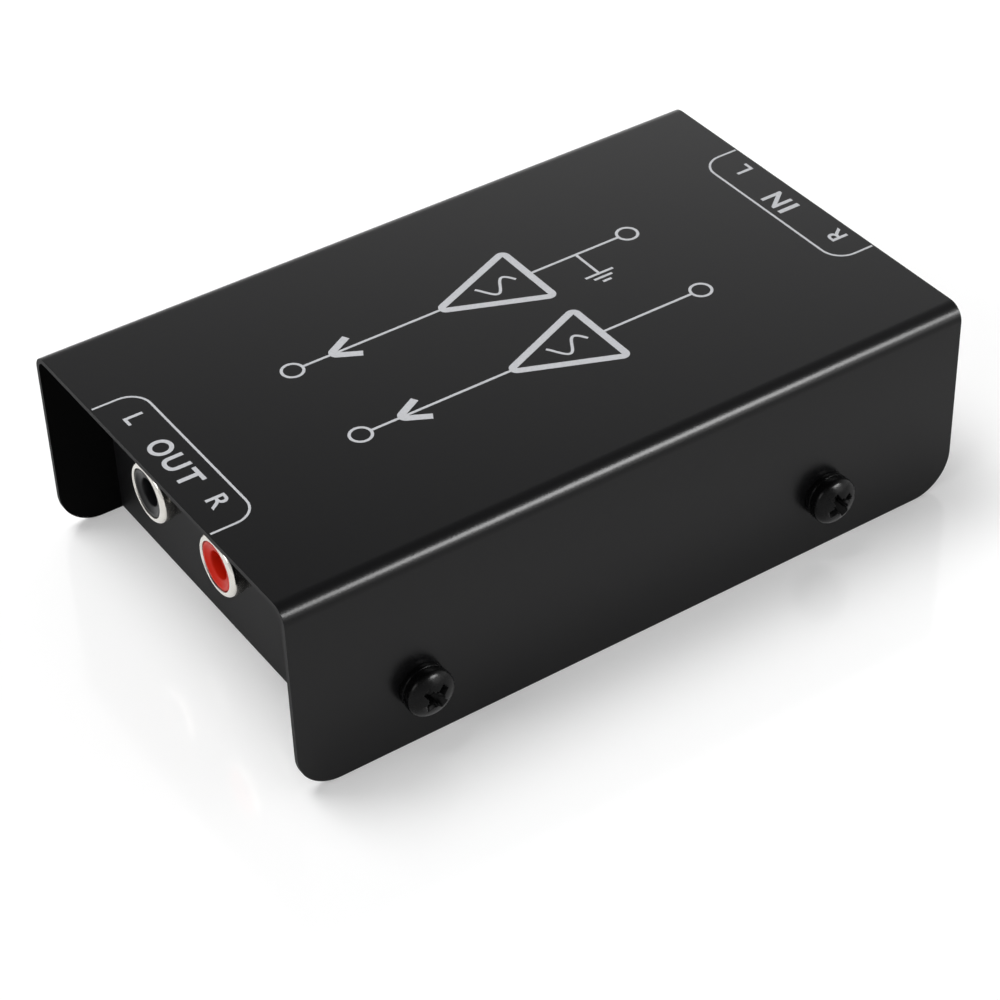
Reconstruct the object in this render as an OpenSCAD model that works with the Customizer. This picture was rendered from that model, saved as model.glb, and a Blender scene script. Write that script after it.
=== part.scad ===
// Phono preamp: a folded sheet-steel cover over a sheet-steel tray that carries the board.
// Millimetres. Origin: centre of the underside. +X points to the input end, -Y to the front
// flange, +Z up. The signal enters at +X and leaves at -X; the left channel lies at +Y.

/* [Cover] */
// Length of the folded cover from end to end
cover_length = 106; // [98:1:130]
// Outer width across the two flanges
cover_width = 65; // [63:1:80]
// Height from the resting surface to the top face
cover_height = 30.4; // [29:0.2:38]
// Thickness of the cover's sheet
cover_sheet = 0.8; // [0.8:0.1:1.4]
// Outside radius of the two long bends
cover_bend_radius = 2.5; // [1.6:0.1:4]
// Radius of the four lower corners of the flanges
flange_corner_radius = 6; // [2:0.5:7]

/* [Tray] */
// How far the end panels stand back from the ends of the cover
end_recess = 9; // [7:0.5:10]
// Thickness of the tray's sheet
tray_sheet = 1; // [0.8:0.1:1.2]
// Outside radius of the tray's bends
tray_bend_radius = 1.6; // [1.3:0.1:2.5]
// Clearance between the tray and the cover on every side
cover_gap = 0.15; // [0.05:0.05:0.3]
// Height of the side lips that take the cover screws
lip_height = 14; // [13:0.5:17]
// Slit between the end of a side lip and the end panel
relief_slit = 0.6; // [0.4:0.1:1.2]
// How far the drawn collar of a screw hole stands inward from its lip
collar_depth = 1.2; // [0.6:0.1:1.5]
// Wall of the drawn collar around its thread
collar_wall = 0.9; // [0.6:0.1:1.2]

/* [Cover screws] */
// Thread diameter of the cover screws
screw_diameter = 3.5; // [3:0.1:4]
// Length of the screws under the head
screw_length = 5; // [4.5:0.25:5.5]
// Diameter of the pan heads
screw_head_diameter = 7; // [6:0.1:8]
// Height of the pan heads
screw_head_height = 2.8; // [2.2:0.1:3]
// Thickness of the captive spring washers under the heads
screw_washer_thickness = 0.8; // [0.5:0.1:1]
// Height of the screws above the resting surface
screw_height = 9; // [7:0.5:9.5]
// Distance of the screws from the output end of the cover
screw_from_output = 18.5; // [16:0.5:24]
// Distance of the screws from the input end of the cover
screw_from_input = 22.5; // [16:0.5:24]

/* [Sockets] */
// Outer diameter of the metal shell of a phono socket
shell_diameter = 8.3; // [8:0.1:8.6]
// Wall of the metal shell
shell_wall = 0.55; // [0.4:0.05:0.7]
// How far the shells stand out of the end panels
shell_reach = 6; // [5:0.25:7.5]
// Distance between the left and the right socket
socket_spacing = 18.2; // [14:0.2:20]
// Height of the socket axes above the resting surface
socket_height = 20; // [19:0.5:22]
// Height of the socket axes above the board
socket_above_board = 7.8; // [6.8:0.2:8.2]
// Bore for the plug's centre pin
pin_bore = 3.3; // [3.2:0.05:3.4]
// Depth of a moulded socket block behind its panel
block_depth = 12; // [11:0.5:14]
// Wall of the moulded block around the outer sockets
block_wall = 1.2; // [0.8:0.1:2]
// Gap between the moulded socket block and the power socket beside it
port_gap = 2.6; // [1.6:0.1:3.2]

/* [Ground terminal] */
// Thread diameter of the ground post
post_diameter = 4; // [3:0.5:4.5]
// Diameter of the knurled thumb nut
thumb_nut_diameter = 8.6; // [8:0.2:10]
// Length of the thumb nut along the post
thumb_nut_length = 5; // [4:0.25:5]
// Thickness of the hexagonal lock nut
lock_nut_thickness = 2.2; // [1.8:0.1:2.4]
// Thickness of the clamp washer under the thumb nut
clamp_washer_thickness = 0.8; // [0.5:0.1:1]

/* [Power socket] */
// Bore that takes the barrel of the power plug
power_bore = 6.2; // [6:0.1:6.4]
// Diameter of the centre pin of the power socket
power_pin_diameter = 2.1; // [1.9:0.1:2.5]
// Width of the moulded power socket
power_body_width = 9; // [8.6:0.2:9.4]
// Depth of the moulded power socket behind its panel
power_body_depth = 14; // [12:0.5:14]
// Height of the moulded power socket above the board
power_body_height = 11; // [10.6:0.2:12]
// Depth of the bore that takes the power plug
power_bore_depth = 10; // [9:0.25:10.5]

/* [Board] */
// Thickness of the circuit board
board_thickness = 1.6; // [1:0.1:2]
// Gap between the ends of the board and the end panels
board_end_gap = 1; // [0.5:0.1:2]
// Gap between the long edges of the board and the tips of the cover screws
board_side_gap = 1; // [0.5:0.1:1.5]
// Outer diameter of the board standoffs
standoff_diameter = 5.5; // [5:0.1:6]
// Thread diameter of the board screws
board_screw_diameter = 3; // [2.5:0.1:3]

/* [Components] */
// Diameter of the two supply capacitors
supply_can_diameter = 10; // [8:0.5:10]
// Height of the two supply capacitors
supply_can_height = 12.5; // [9:0.5:13]
// Diameter of the four coupling capacitors
coupling_can_diameter = 5; // [4:0.5:5]
// Height of the four coupling capacitors
coupling_can_height = 11; // [7:0.5:12]
// Thickness of the boxed film capacitors
film_thickness = 3.5; // [2.5:0.1:3.8]
// Length of the boxed film capacitors
film_length = 7.2; // [6:0.2:7.2]
// Height of the boxed film capacitors
film_height = 7.5; // [5:0.5:10]
// Diameter of a resistor's body
resistor_diameter = 2.3; // [1.8:0.1:2.6]
// Length of a resistor's body
resistor_length = 6.3; // [5:0.1:6.5]
// Diameter of the component leads
lead_diameter = 0.6; // [0.4:0.05:0.7]

/* [Hidden] */
$fn = 64;
// Overshoot of a cutting tool past the face that it opens
cut = 1;
// Clearance of a part pressed or screwed into a hole, on the radius
fit = 0.05;
// Clearance of a part that passes freely through a hole, on the radius
pass = 0.3;

// Faces of the case
half_length = cover_length / 2;
half_width = cover_width / 2;
top_inside = cover_height - cover_sheet;
panel_outside = half_length - end_recess;
panel_inside = panel_outside - tray_sheet;
tray_width = cover_width - 2 * cover_sheet - 2 * cover_gap;
lip_inside = tray_width / 2 - tray_sheet;
panel_top = top_inside - cover_gap;
lip_length = 2 * (panel_inside - relief_slit);

// Cover screws
screw_x = [-half_length + screw_from_output, half_length - screw_from_input];
recess_span = 0.58 * screw_head_diameter;
recess_slot = 0.14 * screw_head_diameter;
recess_depth = 0.65 * screw_head_height;
screw_washer_inset = 0.1;
screw_washer_radius = screw_head_diameter / 2 - screw_washer_inset;

// Board: it ends short of the tips of the cover screws
board_top = socket_height - socket_above_board;
board_bottom = board_top - board_thickness;
board_half_length = panel_inside - board_end_gap;
board_half_width = half_width - screw_length - board_side_gap;
// Length of every lead below the board
lead_tail = 1.2;

// Standoffs stand inboard of the power socket, near the long edges of the board
standoff_inset = 4;
standoff_socket_gap = 5;
standoff_x = panel_inside - power_body_depth - standoff_socket_gap;
standoff_y = board_half_width - standoff_inset;
standoff_step = 0.75;
standoff_foot_radius = standoff_diameter / 2 - standoff_step;
board_screw_head_diameter = standoff_diameter;
board_screw_head_height = 1.9;
board_screw_length = 6;

// Phono sockets, drawn at the input end and mirrored for the output end
socket_y = [socket_spacing / 2, -socket_spacing / 2];
shell_radius = shell_diameter / 2;
shell_bore = shell_radius - shell_wall;
shell_front = panel_outside + shell_reach;
collar_step = 0.25;
collar_radius = shell_radius + collar_step;
block_front = panel_inside - fit;
block_back = block_front - block_depth;
block_half_width = socket_spacing / 2 + collar_radius + block_wall;
block_top = socket_height + collar_radius + block_wall;
block_foot = 1.5;
pocket_depth = 2.5;
pocket_back = block_front - pocket_depth;
insulator_radius = shell_bore - fit;
insulator_setback = 0.3;
insulator_front = shell_front - insulator_setback;
insulator_rim = 0.6;
insulator_dish = 0.35;
insulator_lead_in = 0.5;
contact_wall = 0.45;
contact_radius = pin_bore / 2 + contact_wall;
contact_length = 6.5;
contact_back = pocket_back - contact_length;
pin_relief = 1;
contact_slot = 0.4;
contact_slot_length = 0.6 * contact_length;
strip_width = 1.2;
strip_thickness = 0.4;
contact_leg_inset = 1.2;
contact_leg_x = contact_back + contact_leg_inset;
ground_leg_inset = 0.9;
ground_leg_x = pocket_back + ground_leg_inset;

// Side ports beside the input sockets: the ground post at +Y and the power socket at -Y
port_y = block_half_width + port_gap + power_body_width / 2;
power_floor = 3.4;
port_height = board_top + power_floor + power_bore / 2;

// Ground terminal, stacked outward from the panel
post_radius = post_diameter / 2;
post_head_step = 1.5;
post_head_radius = post_radius + post_head_step;
post_head_thickness = 2;
post_slot = 0.8;
lug_thickness = 0.6;
lug_ring = 2;
lug_radius = post_radius + lug_ring;
lug_face = panel_inside - lug_thickness;
post_head_face = lug_face - post_head_thickness;
lug_tail_width = 3;
tooth_washer_thickness = 0.5;
tooth_washer_ring = 1.7;
tooth_washer_radius = post_radius + tooth_washer_ring;
tooth_gap_radius = 0.5;
tooth_turn = 30;
lock_nut_face = panel_outside + tooth_washer_thickness + lock_nut_thickness;
lock_nut_flats = post_diameter * 1.75;
clamp_washer_face = lock_nut_face + clamp_washer_thickness;
clamp_washer_inset = 0.2;
clamp_washer_radius = thumb_nut_diameter / 2 - clamp_washer_inset;
thumb_nut_end = clamp_washer_face + thumb_nut_length;
post_tip = 0.5;
post_end = thumb_nut_end + post_tip;
knurl_count = 24;
knurl_radius = 0.45;
knurl_depth = 0.3;
plain_band = 0.8;
wire_radius = 0.7;
wire_bend = 1.6;
wire_lift = 0.9;
wire_height = board_top + wire_radius + wire_lift;
wire_reach = 4;
wire_x = lug_face - wire_reach;

// Power socket
power_nose_wall = 0.8;
power_nose_radius = power_bore / 2 + power_nose_wall;
power_nose_reach = 0.3;
power_nose_front = panel_outside + power_nose_reach;
power_body_back = block_front - power_body_depth;
power_bore_back = power_nose_front - power_bore_depth;
power_pin_radius = power_pin_diameter / 2;
power_rivet_step = 0.3;
power_rivet_radius = power_pin_radius - power_rivet_step;
power_pin_setback = 1;
power_pin_front = power_nose_front - power_pin_setback;
leaf_width = 2 * strip_width;
leaf_drop = 0.5;
leaf_top = port_height - power_bore / 2 - leaf_drop;
leaf_back_inset = 2.5;
leaf_back = power_body_back + leaf_back_inset;
leaf_front_inset = 1.5;
leaf_front = block_front - leaf_front_inset;
leaf_leg_inset = 1;
power_pin_leg_x = power_body_back - strip_thickness / 2;
power_contact_leg_x = leaf_back + leaf_leg_inset;
power_y = -port_y;

// Components stand in even columns between the two socket blocks, counted from the middle of the
// board, and every channel is the mirror image of the other about the board's centre line
sides = [-1, 1];
column = block_back / 31;
resistor_x = [for (i = [0:5]) (4 * i - 22) * column];
resistor_row = 12;
resistor_foot = 1.75;
resistor_lead_span = resistor_length + 2 * resistor_foot;
resistor_lift = 0.3;
resistor_axis = board_top + resistor_lift + resistor_diameter / 2;
film_x = [4, 9, 14] * column;
film_row = 13;
film_lead_pitch = 5;
coupling_x = [-27, 20] * column;
coupling_row = 8;
coupling_pitch = 2;
supply_x = [-14, 24] * column;
supply_pitch = 5;
chip_x = 4 * column;
chip_length = 9.3;
chip_width = 6.4;
chip_thickness = 3.3;
chip_pin_pitch = 2.54;
chip_pin_row = 3.81;
chip_lift = 3.6;
chip_notch_radius = 0.8;
chip_notch_depth = 0.6;
socket_frame_height = 3;
socket_rail = 1.6;
regulator_x = 13.5 * column;
regulator_radius = 2.4;
regulator_height = 4.8;
regulator_flat = 1.4;
regulator_lift = 2;
regulator_pitch = 1.27;
diode_x = 24 * column;
diode_y = -13;
diode_diameter = 2.6;
diode_length = 4.6;
diode_lead_span = 8;
diode_lift = 0.3;
diode_axis = board_top + diode_lift + diode_diameter / 2;

// Where leads pass through the board
socket_legs = [for (end = sides, y = socket_y, x = [contact_leg_x, ground_leg_x]) [end * x, y]];
resistor_leads = [for (x = resistor_x, s = sides, e = sides)
                    [x, s * resistor_row + e * resistor_lead_span / 2]];
film_leads = [for (x = film_x, s = sides, e = sides) [x, s * film_row + e * film_lead_pitch / 2]];
coupling_leads = [for (x = coupling_x, s = sides, e = sides) [x + e * coupling_pitch / 2, s * coupling_row]];
supply_leads = [for (x = supply_x, e = sides) [x, e * supply_pitch / 2]];
chip_leads = [for (i = [-1.5:1:1.5], s = sides) [chip_x + i * chip_pin_pitch, s * chip_pin_row]];
regulator_leads = [for (i = [-1:1]) [regulator_x, i * regulator_pitch]];
diode_leads = [for (e = sides) [diode_x, diode_y + e * diode_lead_span / 2]];
power_legs = [[power_pin_leg_x, power_y], [power_contact_leg_x, power_y]];

// ---- Shared shapes ----

// Arch outline standing on the x axis, with its two upper corners rounded
module arch_outline(width, height, radius) {
  translate([-width / 2, 0])
    square([width, height - radius]);
  translate([-width / 2 + radius, 0])
    square([width - 2 * radius, height]);
  for (side = sides)
    translate([side * (width / 2 - radius), height - radius])
      circle(r = radius);
}

// Folded channel outline: an arch with an even wall
module channel_outline(width, height, sheet, radius) {
  difference() {
    arch_outline(width, height, radius);
    translate([0, -cut])
      arch_outline(width - 2 * sheet, height - sheet + cut, radius - sheet);
  }
}

// Turns a drawing's x and y into Y and Z, and extrudes it along X about the origin
module along_x(length) {
  rotate([90, 0, 90])
    linear_extrude(length, center = true)
      children();
}

// Keeps a drawing's x as X, turns its y into Z, and extrudes it along Y about the origin
module along_y(length) {
  rotate([90, 0, 0])
    linear_extrude(length, center = true)
      children();
}

// Rod along +X from the start point
module rod_x(x_from, x_to, radius) {
  translate([x_from, 0, 0])
    rotate([0, 90, 0])
      cylinder(r = radius, h = x_to - x_from);
}

// What is left of a square corner outside a round one, with the corner at the origin
module corner_offcut(radius) {
  difference() {
    translate([-cut, -cut])
      square(radius + cut);
    translate([radius, radius])
      circle(r = radius);
  }
}

// Pan head that stands on z = 0, crowned by a sphere
module pan_head(diameter, height) {
  crown = 0.8 * diameter;
  intersection() {
    cylinder(d = diameter, h = height);
    translate([0, 0, height - crown])
      sphere(r = crown);
  }
}

// Machine screw with a cross recess: the head stands on z = 0 and the shank points down
module cross_screw(diameter, length, head_diameter, head_height) {
  difference() {
    pan_head(head_diameter, head_height);
    for (turn = [0, 90])
      rotate(turn)
        translate([-recess_span / 2, -recess_slot / 2, head_height - recess_depth])
          cube([recess_span, recess_slot, recess_depth + cut]);
  }
  translate([0, 0, -length])
    cylinder(d = diameter, h = length);
}

// Upright lead through the board, down from the given height
module lead(place, from_height) {
  translate([place[0], place[1], board_bottom - lead_tail])
    cylinder(d = lead_diameter, h = from_height - board_bottom + lead_tail);
}

// Flat strip that stands on end below the given height and passes through the board
module leg(place, from_height) {
  translate([place[0] - strip_thickness / 2, place[1] - strip_width / 2, board_bottom - lead_tail])
    cube([strip_thickness, strip_width, from_height - board_bottom + lead_tail]);
}

// Places a child at each cover screw with +Z pointing out of the flange
module at_cover_screws() {
  for (x = screw_x, side = sides)
    translate([x, side * half_width, screw_height])
      rotate([-90 * side, 0, 0])
        children();
}

// Places a child at each standoff on the board's plan
module at_standoffs() {
  for (sx = sides, sy = sides)
    translate([sx * standoff_x, sy * standoff_y, 0])
      children();
}

// Draws a child at the input end, or mirrored at the output end
module at_end(end) {
  mirror([end < 0 ? 1 : 0, 0, 0])
    children();
}

// Moves a child onto the axis of a phono socket
module on_socket(y) {
  translate([0, y, socket_height])
    children();
}

// Moves a child onto the axis of the ground post
module on_post() {
  translate([0, port_y, port_height])
    children();
}

// ---- Case ----

module top_cover() {
  color("#2e2e30")
    difference() {
      along_x(cover_length)
        channel_outline(cover_width, cover_height, cover_sheet, cover_bend_radius);
      for (end = [0, 1])
        mirror([end, 0, 0])
          translate([-half_length, 0, 0])
            along_y(cover_width + cut)
              corner_offcut(flange_corner_radius);
      at_cover_screws()
        translate([0, 0, -cover_sheet - cut])
          cylinder(r = screw_diameter / 2 + pass, h = cover_sheet + 2 * cut);
    }
}

// Holes of one end panel: the sockets' at both ends, the post's and the power socket's at the input
module panel_openings(end) {
  at_end(end)
    for (y = socket_y)
      on_socket(y)
        rod_x(panel_inside - cut, panel_outside + cut, collar_radius + pass);
  if (end > 0) {
    on_post()
      rod_x(panel_inside - cut, panel_outside + cut, post_radius + fit);
    translate([0, power_y, port_height])
      rod_x(panel_inside - cut, panel_outside + cut, power_nose_radius + pass);
  }
}

module base_tray() {
  thread_collar_radius = screw_diameter / 2 + collar_wall;
  color("#313133")
    difference() {
      union() {
        difference() {
          along_y(tray_width)
            translate([0, panel_top])
              mirror([0, 1])
                channel_outline(2 * panel_outside, panel_top, tray_sheet, tray_bend_radius);
          for (side = [0, 1])
            mirror([0, side, 0]) {
              translate([0, -tray_width / 2, 0])
                along_x(2 * panel_outside + cut)
                  corner_offcut(tray_bend_radius);
              translate([0, -tray_width / 2, panel_top])
                mirror([0, 0, 1])
                  along_x(2 * panel_outside + cut)
                    corner_offcut(cover_bend_radius - cover_sheet);
            }
        }
        along_x(lip_length)
          translate([0, lip_height])
            mirror([0, 1])
              channel_outline(tray_width, lip_height, tray_sheet, tray_bend_radius);
        for (x = screw_x, side = sides)
          translate([x, side * (lip_inside + tray_sheet / 2), screw_height])
            rotate([90 * side, 0, 0])
              cylinder(r = thread_collar_radius, h = tray_sheet / 2 + collar_depth);
      }
      at_cover_screws()
        translate([0, 0, -screw_length - cut])
          cylinder(r = screw_diameter / 2 + fit, h = screw_length + cut);
      for (end = sides)
        panel_openings(end);
      at_standoffs()
        translate([0, 0, -cut])
          cylinder(r = standoff_foot_radius + fit, h = tray_sheet + 2 * cut);
    }
}

// The screws reach screw_length under their washers
module cover_screws() {
  color("#141416")
    at_cover_screws() {
      cylinder(r = screw_washer_radius, h = screw_washer_thickness);
      translate([0, 0, screw_washer_thickness])
        cross_screw(screw_diameter, screw_length + screw_washer_thickness, screw_head_diameter,
                    screw_head_height);
    }
}

// ---- Board ----

module circuit_board() {
  lead_places = concat(resistor_leads, film_leads, coupling_leads, supply_leads, chip_leads,
                       regulator_leads, diode_leads);
  color("#1f5a38")
    difference() {
      translate([-board_half_length, -board_half_width, board_bottom])
        cube([2 * board_half_length, 2 * board_half_width, board_thickness]);
      at_standoffs()
        translate([0, 0, board_bottom - cut])
          cylinder(d = board_screw_diameter + 2 * pass, h = board_thickness + 2 * cut);
      for (place = lead_places)
        translate([place[0], place[1], board_bottom - cut])
          cylinder(r = lead_diameter / 2 + fit, h = board_thickness + 2 * cut);
      for (place = concat(socket_legs, power_legs))
        translate([place[0], place[1], board_bottom - cut])
          cylinder(r = strip_width / 2 + 2 * fit, h = board_thickness + 2 * cut);
      translate([wire_x, port_y, board_bottom - cut])
        cylinder(r = wire_radius + fit, h = board_thickness + 2 * cut);
    }
}

module board_standoffs() {
  color("#b8b8bc")
    at_standoffs()
      difference() {
        union() {
          cylinder(r = standoff_foot_radius, h = tray_sheet + fit);
          translate([0, 0, tray_sheet])
            cylinder(d = standoff_diameter, h = board_bottom - tray_sheet);
        }
        translate([0, 0, board_top - board_screw_length - cut])
          cylinder(r = board_screw_diameter / 2 + fit, h = board_screw_length + cut);
      }
}

module board_screws() {
  color("#c6c6ca")
    at_standoffs()
      translate([0, 0, board_top])
        cross_screw(board_screw_diameter, board_screw_length, board_screw_head_diameter,
                    board_screw_head_height);
}

// ---- Phono sockets ----

// Moulded block that holds the two sockets of one end on the board
module socket_block(end) {
  color("#1b1b1d")
    at_end(end)
      difference() {
        translate([block_back, -block_half_width, board_top])
          cube([block_depth, 2 * block_half_width, block_top - board_top]);
        for (y = socket_y) {
          on_socket(y)
            rod_x(pocket_back, block_front + cut, collar_radius + fit);
          on_socket(y)
            rod_x(contact_back - pin_relief, pocket_back + cut, contact_radius + fit);
          for (x = [contact_leg_x, ground_leg_x])
            translate([x - strip_thickness / 2 - fit, y - strip_width / 2 - fit, board_top - cut])
              cube([strip_thickness + 2 * fit, strip_width + 2 * fit, socket_height - board_top + cut]);
        }
        translate([block_back + block_foot, -block_half_width - cut, board_top - cut])
          cube([block_depth - 2 * block_foot - pocket_depth, block_wall + cut, block_foot + cut]);
      }
}

// Turned and plated shell with a collar inside the panel and a rolled front edge
module socket_shell() {
  lip = shell_wall / 2;
  rotate([0, 90, 0])
    rotate_extrude()
      union() {
        translate([shell_bore, pocket_back])
          square([shell_wall, shell_front - lip - pocket_back]);
        translate([shell_bore, pocket_back])
          square([collar_radius - shell_bore, panel_outside - pocket_back]);
        translate([shell_bore + lip, shell_front - lip])
          circle(r = lip);
      }
}

module socket_shells(end) {
  color("#d4d4d6")
    at_end(end)
      for (y = socket_y)
        on_socket(y)
          socket_shell();
}

// Coloured plug face: a dished disc with a lead-in to the bore for the centre pin
module socket_insulator(end, y) {
  bore = pin_bore / 2;
  dish_radius = insulator_radius - insulator_rim;
  throat_radius = bore + insulator_lead_in;
  dish_back = insulator_front - insulator_dish;
  at_end(end)
    on_socket(y)
      rotate([0, 90, 0])
        rotate_extrude()
          polygon([
            [bore, pocket_back + fit],
            [insulator_radius, pocket_back + fit],
            [insulator_radius, insulator_front],
            [dish_radius, insulator_front],
            [throat_radius, dish_back],
            [bore, dish_back - insulator_lead_in]
          ]);
}

// Spring sleeve that grips the plug's pin, with its solder leg
module centre_contacts(end) {
  color("#d9b765")
    at_end(end)
      for (y = socket_y) {
        on_socket(y)
          difference() {
            rod_x(contact_back, pocket_back, contact_radius);
            rod_x(contact_back - cut, pocket_back + cut, pin_bore / 2);
            translate([pocket_back - contact_slot_length, -contact_radius - cut, -contact_slot / 2])
              cube([contact_slot_length + cut, 2 * contact_radius + 2 * cut, contact_slot]);
          }
        leg([contact_leg_x, y], socket_height - pin_bore / 2 - fit);
      }
}

// Tinned strips that carry the shells to ground
module ground_tabs(end) {
  color("#c4c4c8")
    at_end(end)
      for (y = socket_y)
        leg([ground_leg_x, y], socket_height - collar_radius - fit);
}

// ---- Ground terminal ----

// Stud with a slotted head behind the panel
module ground_post() {
  color("#d0d0d3")
    on_post()
      difference() {
        union() {
          rod_x(post_head_face, lug_face, post_head_radius);
          rod_x(lug_face, post_end, post_radius);
        }
        translate([post_head_face - cut, -post_head_radius - cut, -post_slot / 2])
          cube([post_slot + cut, 2 * post_head_radius + 2 * cut, post_slot]);
      }
}

// Ring tag behind the panel with a tail down to the wire
module ground_lug() {
  color("#c4c4c8")
    difference() {
      union() {
        on_post()
          rod_x(lug_face, panel_inside, lug_radius);
        translate([lug_face, port_y - lug_tail_width / 2, wire_height - wire_radius])
          cube([lug_thickness, lug_tail_width, port_height - wire_height + wire_radius]);
      }
      on_post()
        rod_x(lug_face - cut, panel_inside + cut, post_radius + fit);
    }
}

// Insulated wire from the tail of the lug down into the board
module ground_wire() {
  color("#2f7d3a")
    translate([wire_x, port_y, 0]) {
      translate([wire_bend, 0, wire_height])
        rod_x(0, wire_reach - wire_bend, wire_radius);
      translate([wire_bend, 0, wire_height - wire_bend])
        rotate([90, 0, 0])
          rotate([0, 0, 90])
            rotate_extrude(angle = 90)
              translate([wire_bend, 0])
                circle(r = wire_radius);
      translate([0, 0, board_bottom - lead_tail])
        cylinder(r = wire_radius, h = wire_height - wire_bend - board_bottom + lead_tail);
    }
}

// Lock washer with outside teeth
module tooth_washer() {
  color("#c9c9cd")
    on_post()
      difference() {
        rod_x(panel_outside, panel_outside + tooth_washer_thickness, tooth_washer_radius);
        rod_x(panel_outside - cut, panel_outside + tooth_washer_thickness + cut, post_radius + fit);
        for (turn = [0:tooth_turn:360 - tooth_turn])
          rotate([turn, 0, 0])
            translate([0, tooth_washer_radius, 0])
              rod_x(panel_outside - cut, panel_outside + tooth_washer_thickness + cut, tooth_gap_radius);
      }
}

module lock_nut() {
  color("#cfcfd3")
    on_post()
      difference() {
        translate([panel_outside + tooth_washer_thickness, 0, 0])
          rotate([0, 90, 0])
            cylinder(r = lock_nut_flats / sqrt(3), h = lock_nut_thickness, $fn = 6);
        rod_x(panel_outside, lock_nut_face + cut, post_radius + fit);
      }
}

module clamp_washer() {
  color("#cfcfd3")
    on_post()
      difference() {
        rod_x(lock_nut_face, clamp_washer_face, clamp_washer_radius);
        rod_x(lock_nut_face - cut, clamp_washer_face + cut, post_radius + 2 * fit);
      }
}

module thumb_nut() {
  color("#d2d2d5")
    on_post()
      difference() {
        rod_x(clamp_washer_face, thumb_nut_end, thumb_nut_diameter / 2);
        rod_x(clamp_washer_face - cut, thumb_nut_end + cut, post_radius + fit);
        for (i = [0:knurl_count - 1])
          rotate([i * 360 / knurl_count, 0, 0])
            translate([0, thumb_nut_diameter / 2 + knurl_radius - knurl_depth, 0])
              rod_x(clamp_washer_face + plain_band, thumb_nut_end + cut, knurl_radius);
      }
}

// ---- Power socket ----

module power_socket_body() {
  slot_width = leaf_width + 2 * fit;
  color("#19191b")
    difference() {
      union() {
        translate([power_body_back, power_y - power_body_width / 2, board_top])
          cube([power_body_depth, power_body_width, power_body_height]);
        translate([0, power_y, port_height])
          rod_x(block_front - cut, power_nose_front, power_nose_radius);
      }
      translate([0, power_y, port_height]) {
        rod_x(power_bore_back, power_nose_front + cut, power_bore / 2);
        rod_x(power_body_back - cut, power_bore_back + cut, power_rivet_radius + fit);
      }
      translate([leaf_back - fit, power_y - slot_width / 2, board_top - cut])
        cube([leaf_front - leaf_back + 2 * fit, slot_width, port_height - board_top + cut]);
    }
}

// Round-nosed pin riveted through the moulding, with its tag behind
module power_socket_pin() {
  color("#d2d2d5") {
    translate([0, power_y, port_height]) {
      rod_x(power_body_back - strip_thickness, power_bore_back, power_rivet_radius);
      rod_x(power_bore_back, power_pin_front - power_pin_radius, power_pin_radius);
      translate([power_pin_front - power_pin_radius, 0, 0])
        sphere(r = power_pin_radius);
    }
    leg([power_pin_leg_x, power_y], port_height);
  }
}

// Leaf under the bore that presses on the plug's barrel
module power_socket_contact() {
  color("#d9b765") {
    translate([leaf_back, power_y - leaf_width / 2, leaf_top - strip_thickness])
      cube([leaf_front - leaf_back, leaf_width, strip_thickness]);
    leg([power_contact_leg_x, power_y], leaf_top - strip_thickness / 2);
  }
}

// ---- Components ----

module amplifier_chip() {
  chip_bottom = board_top + chip_lift;
  color("#1c1c1e")
    difference() {
      translate([chip_x - chip_length / 2, -chip_width / 2, chip_bottom])
        cube([chip_length, chip_width, chip_thickness]);
      translate([chip_x - chip_length / 2, 0, chip_bottom + chip_thickness - chip_notch_depth])
        cylinder(r = chip_notch_radius, h = chip_notch_depth + cut);
    }
}

module chip_socket() {
  color("#232326")
    difference() {
      translate([chip_x - chip_length / 2, -chip_pin_row - socket_rail / 2, board_top])
        cube([chip_length, 2 * chip_pin_row + socket_rail, socket_frame_height]);
      translate([chip_x - chip_length / 2 + socket_rail, -chip_pin_row + socket_rail / 2, board_top - cut])
        cube([chip_length - 2 * socket_rail, 2 * chip_pin_row - socket_rail, socket_frame_height + 2 * cut]);
      for (place = chip_leads)
        translate([place[0], place[1], board_top - cut])
          cylinder(r = lead_diameter / 2 + fit, h = socket_frame_height + 2 * cut);
    }
}

// Legs that leave the chip sideways and turn down into the socket
module chip_pins() {
  shoulder = board_top + chip_lift + chip_thickness / 2;
  color("#c4c4c8")
    for (place = chip_leads) {
      reach = sign(place[1]) * (chip_pin_row + lead_diameter / 2);
      translate([place[0] - lead_diameter / 2, min(reach, sign(place[1]) * chip_width / 2), shoulder])
        cube([lead_diameter, abs(reach) - chip_width / 2, lead_diameter]);
      lead(place, shoulder + lead_diameter / 2);
    }
}

// Transistor-like regulator with a flat front
module voltage_regulator() {
  color("#202022")
    difference() {
      translate([regulator_x, 0, board_top + regulator_lift])
        cylinder(r = regulator_radius, h = regulator_height);
      translate([regulator_x + regulator_flat, -regulator_radius - cut, board_top + regulator_lift - cut])
        cube([regulator_radius, 2 * regulator_radius + 2 * cut, regulator_height + 2 * cut]);
    }
}

// Sleeved can with a rolled groove above its foot and a rounded shoulder
module can(diameter, height) {
  groove = diameter / 14;
  groove_height = 2.5 * groove;
  shoulder = diameter / 12;
  translate([0, 0, board_top])
    rotate_extrude()
      difference() {
        union() {
          square([diameter / 2, height - shoulder]);
          square([diameter / 2 - shoulder, height]);
          translate([diameter / 2 - shoulder, height - shoulder])
            circle(r = shoulder);
        }
        translate([-diameter, -cut])
          square([diameter, height + 2 * cut]);
        translate([diameter / 2 + groove / 2, groove_height])
          circle(r = groove);
      }
}

module supply_capacitors() {
  color("#26344f")
    for (x = supply_x)
      translate([x, 0, 0])
        can(supply_can_diameter, supply_can_height);
}

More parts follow.
